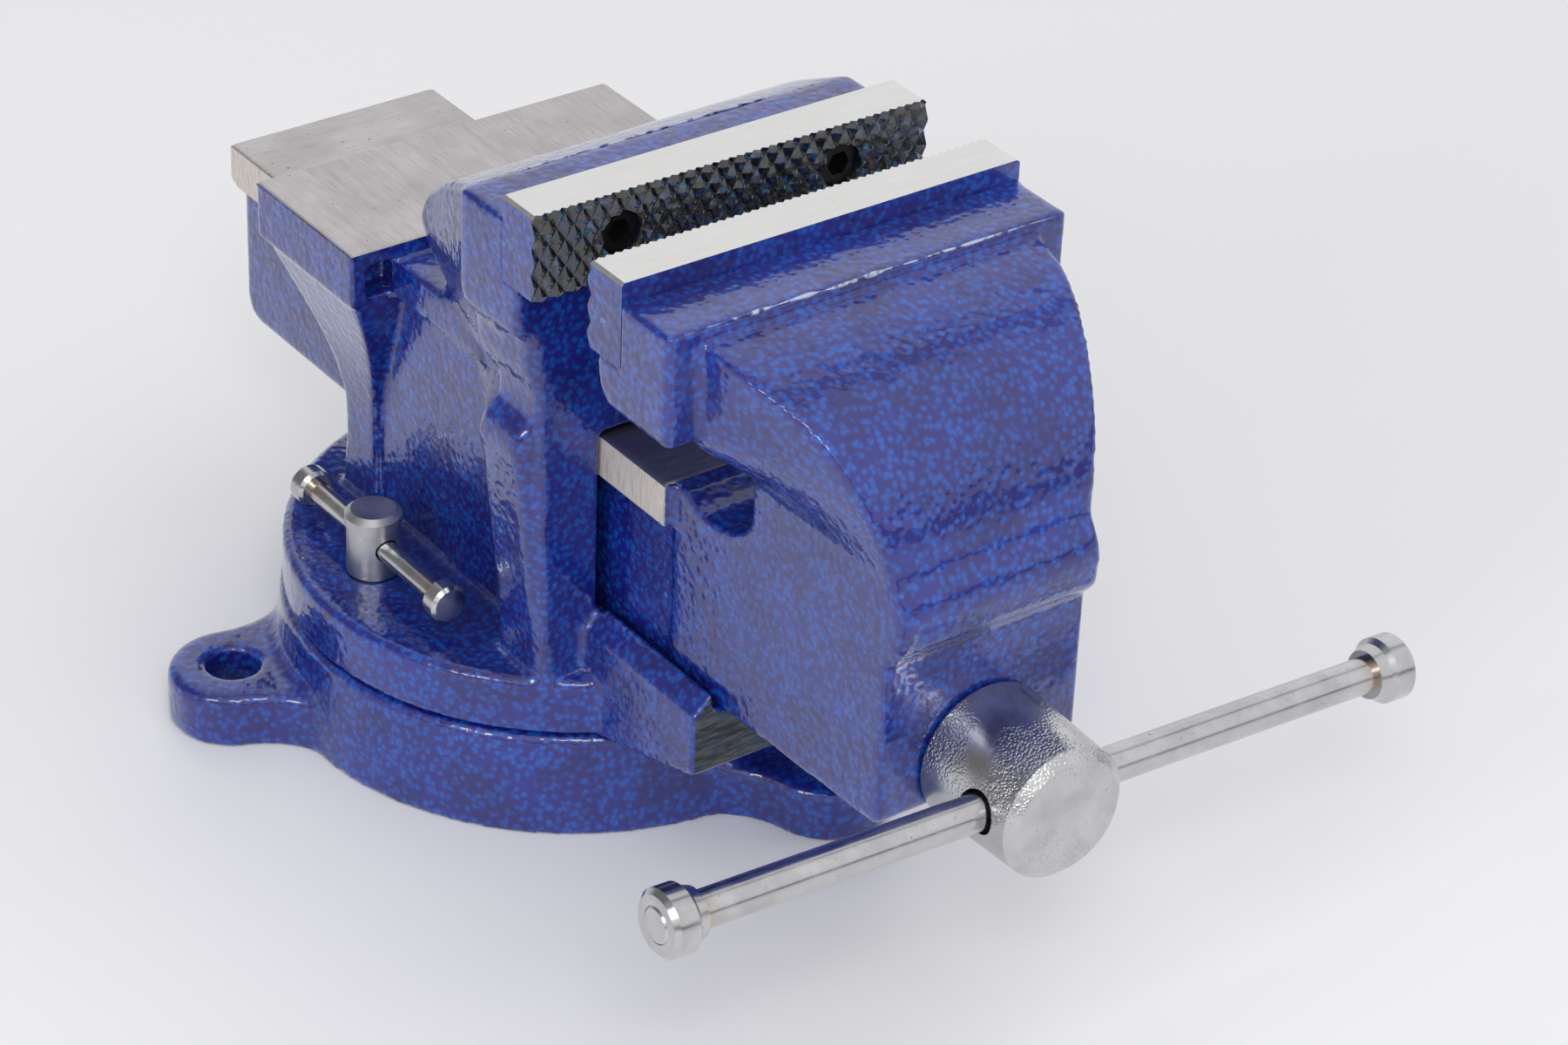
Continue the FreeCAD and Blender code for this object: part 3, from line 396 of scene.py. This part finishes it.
def black_oxide_and_shade():
    """Black oxide on the socket screws, darkened further as painted shade for the dark inside their
    holes.
    """
    finish = Finish("black_oxide_and_shade", Metallic=0.6)
    marks = finish.grain(0.5, 3)
    # Near-black colour: black oxide, made darker still as painted shade in the screw holes.
    colour = finish.mix(finish.fit(marks, 0.3, 0.7), (0.004, 0.004, 0.005), (0.014, 0.014, 0.014))
    finish.set(Base_Color=colour, Roughness=finish.fit(marks, 0.3, 0.7, 0.35, 0.55))
    finish.set(Normal=finish.bump(marks, 0.02, 0.5))
    return finish.material


def cast_iron():
    """Bare grey cast iron of the spindle nut and the T nuts."""
    finish = Finish("grey_cast_iron", Metallic=0.7)
    sand = finish.grain(0.8, 4, 0.7)
    rust = finish.grain(7, 4, 0.7)
    colour = finish.mix(finish.fit(sand, 0.3, 0.7), (0.10, 0.095, 0.09), (0.19, 0.18, 0.17))
    colour = finish.mix(finish.product(finish.fit(rust, 0.55, 0.75), 0.6), colour, (0.16, 0.07, 0.03))
    finish.set(Base_Color=colour, Roughness=finish.fit(sand, 0.3, 0.7, 0.5, 0.75))
    finish.set(Normal=finish.bump(sand, 0.12, 0.7))
    return finish.material


def dark_sawn():
    """A sawn face gone dark with oil and overspray, streaked across."""
    finish = Finish("dark_sawn_iron", Metallic=0.5)
    streaks = finish.grain(1.2, 4, 0.7, (0.15, 1, 1))
    spray = finish.grain(5, 3, 0.6)
    colour = finish.mix(finish.fit(streaks, 0.35, 0.65), (0.012, 0.014, 0.020), (0.10, 0.11, 0.12))
    colour = finish.mix(finish.fit(spray, 0.45, 0.65, 0.0, 0.6), colour, (0.010, 0.05, 0.12))
    finish.set(Base_Color=colour, Roughness=finish.fit(streaks, 0.3, 0.7, 0.3, 0.5))
    finish.set(Normal=finish.bump(streaks, 0.06, 0.7))
    return finish.material


def painted_highlight_enamel():
    """Enamel painted pale as a painted highlight along an edge ridge, with darker breaks."""
    finish = Finish("painted_highlight_enamel", Coat_Weight=1.0, Coat_Roughness=0.06)
    breaks = finish.fit(finish.grain(3, 3, 0.6), 0.40, 0.56)
    # Painted highlight: pale where the ridge would catch the light, navy enamel in the breaks.
    colour = finish.mix(breaks, (0.012, 0.018, 0.16), (0.46, 0.52, 0.68))
    finish.set(Base_Color=colour, Roughness=finish.fit(finish.grain(0.5, 2), 0.3, 0.7, 0.16, 0.3))
    finish.set(Normal=finish.bump(finish.grain(0.8, 3), 0.05, 0.7))
    return finish.material


# ---------------------------------------------------------------- castings

VOXEL = 0.8            # mm between the points of a remeshed casting
KEPT_FACES = 0.4       # share of its faces that a casting keeps
UNEVEN_SIZE = 11       # mm across the bumps of a casting's skin
UNEVEN_HEIGHT = 0.10   # mm


def neighbours_mean(places, edges):
    """Each point's mean neighbour, from the list of edges."""
    first, second = edges[:, 0], edges[:, 1]
    count = np.bincount(first, minlength=len(places)) + np.bincount(second, minlength=len(places))
    mean = np.empty_like(places)
    for axis in range(3):
        total = np.bincount(first, places[second, axis], len(places))
        total += np.bincount(second, places[first, axis], len(places))
        mean[:, axis] = total / np.maximum(count, 1)
    return mean


def mesh_points(mesh):
    """The mesh's points as rows of x, y and z."""
    places = np.empty(len(mesh.vertices) * 3)
    mesh.vertices.foreach_get("co", places)
    return places.reshape(-1, 3)


def cast(node, name, body, crisp, passes, material):
    """A casting from its CAD solid: rounded edges, a slightly uneven skin, crisp machined faces."""
    mesh = applied(joined_copy(node), [("REMESH", {"mode": "VOXEL", "voxel_size": VOXEL * MM})])
    places = mesh_points(mesh)
    edges = np.empty(len(mesh.edges) * 2, dtype=np.int32)
    mesh.edges.foreach_get("vertices", edges)
    soft = (1 - crisp(places / MM))[:, None]
    edges = edges.reshape(-1, 2)
    for _ in range(passes):
        places += 0.5 * soft * (neighbours_mean(places, edges) - places)
    mesh.vertices.foreach_set("co", places.ravel())
    mesh.update()
    normals = np.empty(len(mesh.vertices) * 3)
    mesh.vertex_normals.foreach_get("vector", normals)
    uneven = np.array([noise.fractal(Vector(p) / (UNEVEN_SIZE * MM), 0.8, 2.2, 3) for p in places])
    places += soft * normals.reshape(-1, 3) * uneven[:, None] * UNEVEN_HEIGHT * MM
    mesh.vertices.foreach_set("co", places.ravel())
    mesh.update()
    mesh = applied(mesh, [("DECIMATE", {"ratio": KEPT_FACES})])
    shade(mesh, 50)
    piece = new_piece(name, mesh, body, "blue_paint", node)
    weights = piece.modifiers.new("flat faces stay flat", "WEIGHTED_NORMAL")
    weights.keep_sharp = True
    mesh.materials.append(material)
    return piece


FIXED_FIRMNESS, MOVING_FIRMNESS, LEDGE_FIRMNESS = 0.6, 0.7, 0.85


def step(value, low, high):
    """0 below low, 1 above high, straight between."""
    return np.clip((value - low) / (high - low), 0, 1)


def anvil_crisp(places):
    """1 along the rim of the anvil's table."""
    return step(places[:, 2], ANVIL_TOP - 1.6, ANVIL_TOP - 0.8) * step(places[:, 1], 16.5, 17.5) * (
        places[:, 2] < ANVIL_TOP + 2)


def slide_crisp(places):
    """1 on the slide behind the jaw's neck."""
    behind = step(places[:, 1], FLANGE_FRONT - 1, FLANGE_FRONT)
    return behind * (places[:, 2] < FLANGE_TOP + 1) * (places[:, 2] > FLANGE_UNDER - 2)


def within(places, low, high, ease):
    """1 inside a box in millimetres, falling to 0 over the ease around it."""
    outside = np.maximum(np.array(low) - places, places - np.array(high))
    return 1 - step(outside.max(axis=1), 0, ease)


def near(node, places):
    """1 around a node's box, so that its seat stays crisp."""
    low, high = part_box(node)
    return within(places, np.array(low) / MM - 2, np.array(high) / MM + 2, 1.0)


def fixed_crisp(places):
    """How firmly the fixed casting keeps its shape: fully where it is machined, least on its flank."""
    flank = within(places, (-60, -56, 100), (60, 6, 129), 2.0)
    seats = np.maximum(anvil_crisp(places), near("fixed_jaw_plate", places))
    return np.maximum(seats, FIXED_FIRMNESS * (1 - flank))


def moving_crisp(places):
    """The same for the movable casting, least where its bead begins and high along its ledge."""
    ledge = step(places[:, 1], -109, -107) * step(-places[:, 1], 102, 104) * (places[:, 2] > 149)
    bead = within(places, (-30, -156, 100), (30, -140, 123), 2.0)
    seats = np.maximum(slide_crisp(places), near("moving_jaw_plate", places))
    return np.maximum(np.maximum(seats, LEDGE_FIRMNESS * ledge), MOVING_FIRMNESS * (1 - bead))


def nowhere(places):
    """0 all over the casting."""
    return np.zeros(len(places))


FLASH_SIDES = 8        # points round the ridge
FLASH_STEP = 0.6       # mm between its rings
FLASH_SEED = 1794898022    # fixes how the ridges wander, which would otherwise start from the clock


def flash_line(name, body, start, end, radius, material):
    """The thin uneven ridge that the mould's joint leaves along an edge, between two places in mm."""
    start, end = Vector(start), Vector(end)
    along = (end - start).normalized()
    across = along.orthogonal().normalized()
    over = along.cross(across)
    rings = int((end - start).length / FLASH_STEP)
    noise.seed_set(FLASH_SEED)
    points, faces = [], []
    for ring in range(rings + 1):
        centre = start.lerp(end, ring / rings)
        wander = noise.noise_vector(centre / 9) * 0.25
        taper = min(1, 6 * ring / rings, 6 * (1 - ring / rings))
        reach = radius * max(0.08, taper * (0.7 + 0.9 * noise.noise(centre / 4.0)))
        for side in range(FLASH_SIDES):
            angle = 2 * math.pi * side / FLASH_SIDES
            spoke = across * math.cos(angle) + over * math.sin(angle)
            points.append((centre + wander + spoke * reach) * MM)
    for ring in range(rings):
        for side in range(FLASH_SIDES):
            low, beside = ring * FLASH_SIDES, (side + 1) % FLASH_SIDES
            faces.append((low + side, low + beside, low + FLASH_SIDES + beside, low + FLASH_SIDES + side))
    last = rings * FLASH_SIDES
    faces += [tuple(range(FLASH_SIDES)), tuple(range(last, last + FLASH_SIDES))]
    mesh = mesh_from(points, faces, name)
    shade(mesh, 60)
    mesh.materials.append(material)
    return new_piece(name, mesh, body, "blue_paint")


# ---------------------------------------------------------------- jaw plates

DIAMONDS_ALONG = 24    # teeth along the jaw
DIAMOND_PARTS = 12     # grid columns in one tooth
ROWS = 39              # grid rows up the plate
KNURL_DEPTH = 1.25     # mm
PLATE_CHAMFER = 0.7    # mm off each top corner
PLATE_SUNK = 0.5       # mm that the plate's back reaches into its seat
HOLE_ACROSS = 28       # mm from the middle of the jaw to a screw
HOLE_RADIUS = 5        # mm
CUTTER_LONG = 14       # mm


def tooth(column, row):
    """How deep the knurling goes at a grid point: 0 on a tooth's tip and 1 in a groove."""
    across = ((column + row) % DIAMOND_PARTS) / DIAMOND_PARTS
    along = ((column - row) % DIAMOND_PARTS) / DIAMOND_PARTS
    height = min(1 - abs(2 * across - 1), 1 - abs(2 * along - 1))
    return 1 - min(1, height * 1.12)


def plate_grid(low, high, facing):
    """Points and faces of a knurled plate: the toothed face, four sides and a flat back."""
    columns = DIAMONDS_ALONG * DIAMOND_PARTS
    front, back = (low.y, high.y) if facing < 0 else (high.y, low.y)
    back -= facing * PLATE_SUNK * MM
    half, top = high.x, high.z
    points, faces = [], []
    for row in range(ROWS + 1):
        for column in range(columns + 1):
            x = low.x + (high.x - low.x) * column / columns
            z = low.z + (high.z - low.z) * row / ROWS
            z = min(z, top - max(0, abs(x) - half + PLATE_CHAMFER * MM))
            uneven = 0.07 * noise.noise(Vector((x, facing, z)) / (1.3 * MM))
            depth = KNURL_DEPTH * tooth(column, row) * (1 + uneven) + max(0, uneven)
            points.append((x, front - facing * depth * MM, z))

    def at(column, row):
        return row * (columns + 1) + column

    for row in range(ROWS):
        for column in range(columns):
            a, b = at(column, row), at(column + 1, row)
            c, d = at(column + 1, row + 1), at(column, row + 1)
            if (column + 1 + row) % DIAMOND_PARTS == 0:
                faces += [(a, b, d), (b, c, d)]
            else:
                faces += [(a, b, c), (a, c, d)]
    rim = [at(c, 0) for c in range(columns)] + [at(columns, r) for r in range(ROWS)]
    rim += [at(c, ROWS) for c in range(columns, 0, -1)] + [at(0, r) for r in range(ROWS, 0, -1)]
    behind = {index: len(points) + n for n, index in enumerate(rim)}
    points += [(points[i][0], back, points[i][2]) for i in rim]
    for one, two in zip(rim, rim[1:] + rim[:1]):
        faces.append((one, two, behind[two], behind[one]))
    faces.append([behind[i] for i in rim])
    return points, faces


def screw_hole(x, z, y):
    """A cutter for one counterbored screw hole."""
    net = bmesh.new()
    bore = Matrix.Translation((x, y, z)) @ Matrix.Rotation(math.radians(90), 4, "X")
    bmesh.ops.create_cone(net, cap_ends=True, segments=48, radius1=HOLE_RADIUS * MM,
                          radius2=HOLE_RADIUS * MM, depth=CUTTER_LONG * MM, matrix=bore)
    cutter = bpy.data.meshes.new("cutter")
    net.to_mesh(cutter)
    net.free()
    return cutter


def knurled_plate(node, name, body, facing, materials):
    """A jaw plate: toothed black face, ground top, enamelled ends and back, two screw holes."""
    low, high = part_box(node)
    points, faces = plate_grid(low, high, facing)
    mesh = mesh_from(points, faces, name)
    front = low.y if facing < 0 else high.y
    for side in (-1, 1):
        cutter = screw_hole(side * HOLE_ACROSS * MM, (low.z + high.z) / 2, front)
        hole = bpy.data.objects.new("hole", cutter)
        SCENE.collection.objects.link(hole)
        mesh = applied(mesh, [("BOOLEAN", {"operation": "DIFFERENCE", "object": hole})])
        bpy.data.objects.remove(hole)
    mesh.materials.clear()
    for material in materials:
        mesh.materials.append(material)
    middle = (low.z + high.z) / 2
    for face in mesh.polygons:
        from_hole = math.hypot(abs(face.center.x) - HOLE_ACROSS * MM, face.center.z - middle)
        if face.normal.z > 0.5 and face.center.z > high.z - 1.5 * MM:
            face.material_index = 1
        elif face.normal.y * facing > 0.2 or from_hole < HOLE_RADIUS * MM * 1.05:
            face.material_index = 0
        else:
            face.material_index = 2
    shade(mesh, 28)
    return new_piece(name, mesh, body, "plate_steel", node)


# ---------------------------------------------------------------- spindle thread

THREAD_PITCH = 5.0     # mm, as are the other sizes here
THREAD_DEPTH = 1.3
JOURNAL_RADIUS, JOURNAL_LONG = 10.0, 24.6
SPIGOT_LONG = 9.0
THREAD_SIDES = 32      # points round the spindle
THREAD_ROWS = 8        # grid rows in one pitch


def thread_profile(part):
    """How far in the thread lies, from 0 at its crest to 1 at its root."""
    crest, flank = 0.30, 0.20
    t = part % 1
    if t < crest:
        return 0.0
    if t < crest + flank:
        return (t - crest) / flank
    if t < 1 - flank:
        return 1.0
    return (1 - t) / flank


def ring_point(angle, reach, y, centre):
    """A place at an angle about the spindle's axis, from millimetres."""
    return (reach * math.sin(angle) * MM, y * MM, (centre + reach * math.cos(angle)) * MM)


def thread_grid(front, back, centre, radius):
    """Points and faces of a thread along Y: a grid that climbs one pitch in each turn."""
    rows = (math.ceil((back - front) / THREAD_PITCH) + 1) * THREAD_ROWS
    points, faces = [], []
    for side in range(THREAD_SIDES):
        angle = 2 * math.pi * side / THREAD_SIDES
        for row in range(rows + 1):
            y = front + THREAD_PITCH * (row / THREAD_ROWS - 1 + side / THREAD_SIDES)
            fade = min(1, max(0, back - y) / 3)
            reach = radius - THREAD_DEPTH * thread_profile(row / THREAD_ROWS) - 1.2 * (1 - fade)
            points.append(ring_point(angle, reach, min(max(y, front), back), centre))

    def at(side, row):
        if side == THREAD_SIDES:
            return at(0, row + THREAD_ROWS)
        return side * (rows + 1) + row

    for side in range(THREAD_SIDES):
        last = rows - THREAD_ROWS if side == THREAD_SIDES - 1 else rows
        for row in range(last):
            faces.append((at(side, row), at(side, row + 1), at(side + 1, row + 1), at(side + 1, row)))
    return points, faces


def turned_grid(profile, centre):
    """Points and faces of a turned shape along Y from its (y, radius) profile."""
    points, faces = [], []
    for y, radius in profile:
        for side in range(THREAD_SIDES):
            points.append(ring_point(2 * math.pi * side / THREAD_SIDES, radius, y, centre))
    for ring in range(len(profile) - 1):
        for side in range(THREAD_SIDES):
            beside = (side + 1) % THREAD_SIDES
            low, high = ring * THREAD_SIDES, (ring + 1) * THREAD_SIDES
            faces.append((low + side, high + side, high + beside, low + beside))
    return points, faces


def threaded_spindle(material):
    """The spindle: a plain journal behind the head, then a square-cut thread to its tip."""
    low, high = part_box("spindle_screw")
    front, back = low.y / MM, high.y / MM
    centre = (low.z + high.z) / 2 / MM
    radius = JOURNAL_RADIUS - 2
    shoulder, collar = front + SPIGOT_LONG, front + SPIGOT_LONG + JOURNAL_LONG
    core = radius - THREAD_DEPTH - 0.1
    profile = [(front, 0.3), (front, radius), (shoulder, radius), (shoulder, JOURNAL_RADIUS),
               (collar, JOURNAL_RADIUS), (collar, core), (back - 1.5, core), (back, core - 1),
               (back, 0.3)]
    points, faces = turned_grid(profile, centre)
    spiral_points, spiral_faces = thread_grid(collar + 0.5, back, centre, radius)
    faces += [tuple(i + len(points) for i in face) for face in spiral_faces]
    mesh = mesh_from(points + spiral_points, faces, "spindle_thread")
    shade(mesh, 30)
    mesh.materials.append(material)
    return new_piece("spindle_threaded", mesh, "spindle", "turned_steel", "spindle_screw")


# ---------------------------------------------------------------- the pieces

def dress(node, material):
    """Gives a carried-over CAD node its finish."""
    for slot in NODES[node].material_slots:
        slot.link = "OBJECT"
        slot.material = material


def sawn_end(piece, front, material):
    """Gives the flat front end of a casting a finish of its own."""
    mesh = piece.data
    mesh.materials.append(material)
    for face in mesh.polygons:
        if face.center.y < (front + 0.6) * MM and face.normal.y < -0.9:
            face.material_index = 1


def build_castings():
    """The three castings and the ridges on their edges; returns the enamel."""
    enamel = paint()
    cast("swivel_base", "swivel_casting", "base", nowhere, 8, enamel)
    body = cast("fixed_body", "fixed_casting", "swivel_body", fixed_crisp, 16,
                part_machined("enamel_and_anvil", "Y", anvil_mask))
    sawn_end(body, TONGUE_FRONT, dark_sawn())
    cast("movable_jaw", "movable_casting", "jaw", moving_crisp, 18,
         part_machined("enamel_and_slide", "X", slide_mask))
    # The ridges on the ledge and head get pale enamel as a painted highlight along those edges.
    painted_glint = painted_highlight_enamel()
    flash_line("ledge_flash", "jaw", (-46, LEDGE_FRONT, LEDGE_TOP), (46, LEDGE_FRONT, LEDGE_TOP),
               0.42, painted_glint)
    flash_line("head_flash", "swivel_body", (-46, HEAD_BACK, HEAD_TOP), (46, HEAD_BACK, HEAD_TOP),
               0.30, painted_glint)
    return enamel


def build_plates(enamel):
    """The two jaw plates."""
    finishes = [knurl_black(), ground_steel(), enamel]
    knurled_plate("fixed_jaw_plate", "fixed_plate_knurled", "swivel_body", -1, finishes)
    knurled_plate("moving_jaw_plate", "moving_plate_knurled", "jaw", 1, finishes)


def build_fittings():
    """The plated, oiled, blackened and bare pieces."""
    bright, satin = plated("bright_plating"), plated("satin_plating", satin=0.18)
    bar_low, bar_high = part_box("handle_bar")
    bar = plated("plated_bar", tint=end_tint("X", (bar_low.x + 9 * MM, bar_high.x - 9 * MM), 5))
    lock_low, lock_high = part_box("lock_bar_left")
    lock_bar = plated("plated_lock_bar", tint=end_tint("Y", (lock_low.y + 5 * MM,
                                                             lock_high.y - 5 * MM), 9))
    dress("handle_bar", bar)
    for side in ("left", "right"):
        dress("handle_cap_" + side, bright)
        dress("lock_bar_caps_" + side, bright)
        dress("lock_bar_" + side, lock_bar)
        dress("lock_screw_" + side, satin)
        dress("lock_t_nut_" + side, cast_iron())
    dress("spindle_head", plated("plated_forging", pits=0.13))
    steel, black = turned_steel(), black_oxide_and_shade()
    for node in ("retaining_collar", "collar_pin", "thrust_washer", "pivot_bolt", "pivot_washer"):
        dress(node, steel)
    threaded_spindle(steel)
    for node in ("fixed_jaw_screws", "moving_jaw_screws", "nut_screws"):
        dress(node, black)
    dress("spindle_nut", cast_iron())


# ---------------------------------------------------------------- studio

FLOOR_REACH = 6.0
DARK_CORNER = (-0.53, 0.67, 0.51)
# Each band is (the direction it lies square to, its half width, the light left in it).
DARK_BANDS = (((0, 1, -0.10), 0.04, 0.35), ((0, 0.07, 1), 0.05, 0.2))


def lamp(name, place, aim, size, power):
    """A rectangular soft box that points at a place."""
    data = bpy.data.lights.new(name, "AREA")
    data.shape = "RECTANGLE"
    data.size, data.size_y = size
    data.energy = power
    light = bpy.data.objects.new(name, data)
    light.location = place
    light.rotation_euler = (Vector(aim) - Vector(place)).to_track_quat("-Z", "Y").to_euler()
    SCENE.collection.objects.link(light)


def room_node(tree, kind, inputs, **settings):
    """One node of the room, with its inputs linked or set, and its first output."""
    node = tree.nodes.new("ShaderNode" + kind)
    for key, value in settings.items():
        setattr(node, key, value)
    for key, value in inputs.items():
        if isinstance(value, bpy.types.NodeSocket):
            tree.links.new(value, node.inputs[key])
        else:
            node.inputs[key].default_value = value
    return node.outputs[0]


def room_colours(tree):
    """A pale room with a dark corner, high at the back on the left, and two dark bands across it."""
    place = tree.nodes.new("ShaderNodeTexCoord").outputs["Generated"]

    def facing(direction):
        node = tree.nodes.new("ShaderNodeVectorMath")
        node.operation = "DOT_PRODUCT"
        tree.links.new(place, node.inputs[0])
        node.inputs[1].default_value = direction
        return node.outputs["Value"]

    strength = room_node(tree, "MapRange", {"Value": facing(DARK_CORNER), "From Min": 0.70,
                                            "From Max": 0.95, "To Min": 0.95, "To Max": 0.24},
                         interpolation_type="SMOOTHSTEP")
    for direction, half_width, depth in DARK_BANDS:
        off = room_node(tree, "Math", {0: facing(direction)}, operation="ABSOLUTE")
        band = room_node(tree, "MapRange", {"Value": off, "From Min": half_width,
                                            "From Max": half_width + 0.05,
                                            "To Min": depth, "To Max": 1.0},
                         interpolation_type="SMOOTHSTEP")
        strength = room_node(tree, "Math", {0: strength, 1: band}, operation="MULTIPLY")
    background = tree.nodes["Background"]
    tree.links.new(strength, background.inputs["Strength"])
    background.inputs["Color"].default_value = (0.98, 0.98, 1.0, 1)


def build_studio():
    """A pale floor, a pale room and two soft boxes at the front."""
    data = bpy.data.meshes.new("floor")
    corners = [(x * FLOOR_REACH, y * FLOOR_REACH, 0) for x, y in ((-1, -1), (1, -1), (1, 1), (-1, 1))]
    data.from_pydata(corners, [], [(0, 1, 2, 3)])
    floor = bpy.data.objects.new("floor", data)
    SCENE.collection.objects.link(floor)
    white = Finish("pale_floor", Roughness=0.6)
    white.set(Base_Color=white.mix(white.grain(900, 2), (0.91, 0.91, 0.92), (0.93, 0.93, 0.93)))
    data.materials.append(white.material)
    world = bpy.data.worlds.new("room")
    world.use_nodes = True
    room_colours(world.node_tree)
    SCENE.world = world
    aim = (0, -0.04, 0.08)
    lamp("front box", (-0.55, -0.9, 0.95), aim, (0.35, 0.35), 3.3)
    lamp("left box", (-1.0, -0.39, 0.6), aim, (0.25, 0.25), 2.2)
    SCENE.view_settings.view_transform = "Standard"


AIM = Vector((0.0149, -0.0605, 0.0657))
AZIMUTH, ELEVATION, ROLL = -37.18, 32.25, 2.55    # degrees
DISTANCE, LENS, SENSOR = 1.0, 104.66, 36          # m, mm, mm


def build_camera():
    """The camera stands in front, to the left and above."""
    turn, lift, roll = (math.radians(a) for a in (AZIMUTH, ELEVATION, ROLL))
    back = Vector((math.sin(turn) * math.cos(lift), -math.cos(turn) * math.cos(lift), math.sin(lift)))
    level = Vector((math.cos(turn), math.sin(turn), 0))
    right = Matrix.Rotation(roll, 3, back) @ level
    up = back.cross(right)
    data = bpy.data.cameras.new("camera")
    data.lens = LENS
    data.sensor_width = SENSOR
    data.clip_start = 0.02
    camera = bpy.data.objects.new("camera", data)
    pose = Matrix((right, up, back)).transposed().to_4x4()
    pose.translation = AIM + back * DISTANCE
    camera.matrix_world = pose
    SCENE.collection.objects.link(camera)
    SCENE.camera = camera


enamel = build_castings()
build_plates(enamel)
build_fittings()
build_studio()
build_camera()
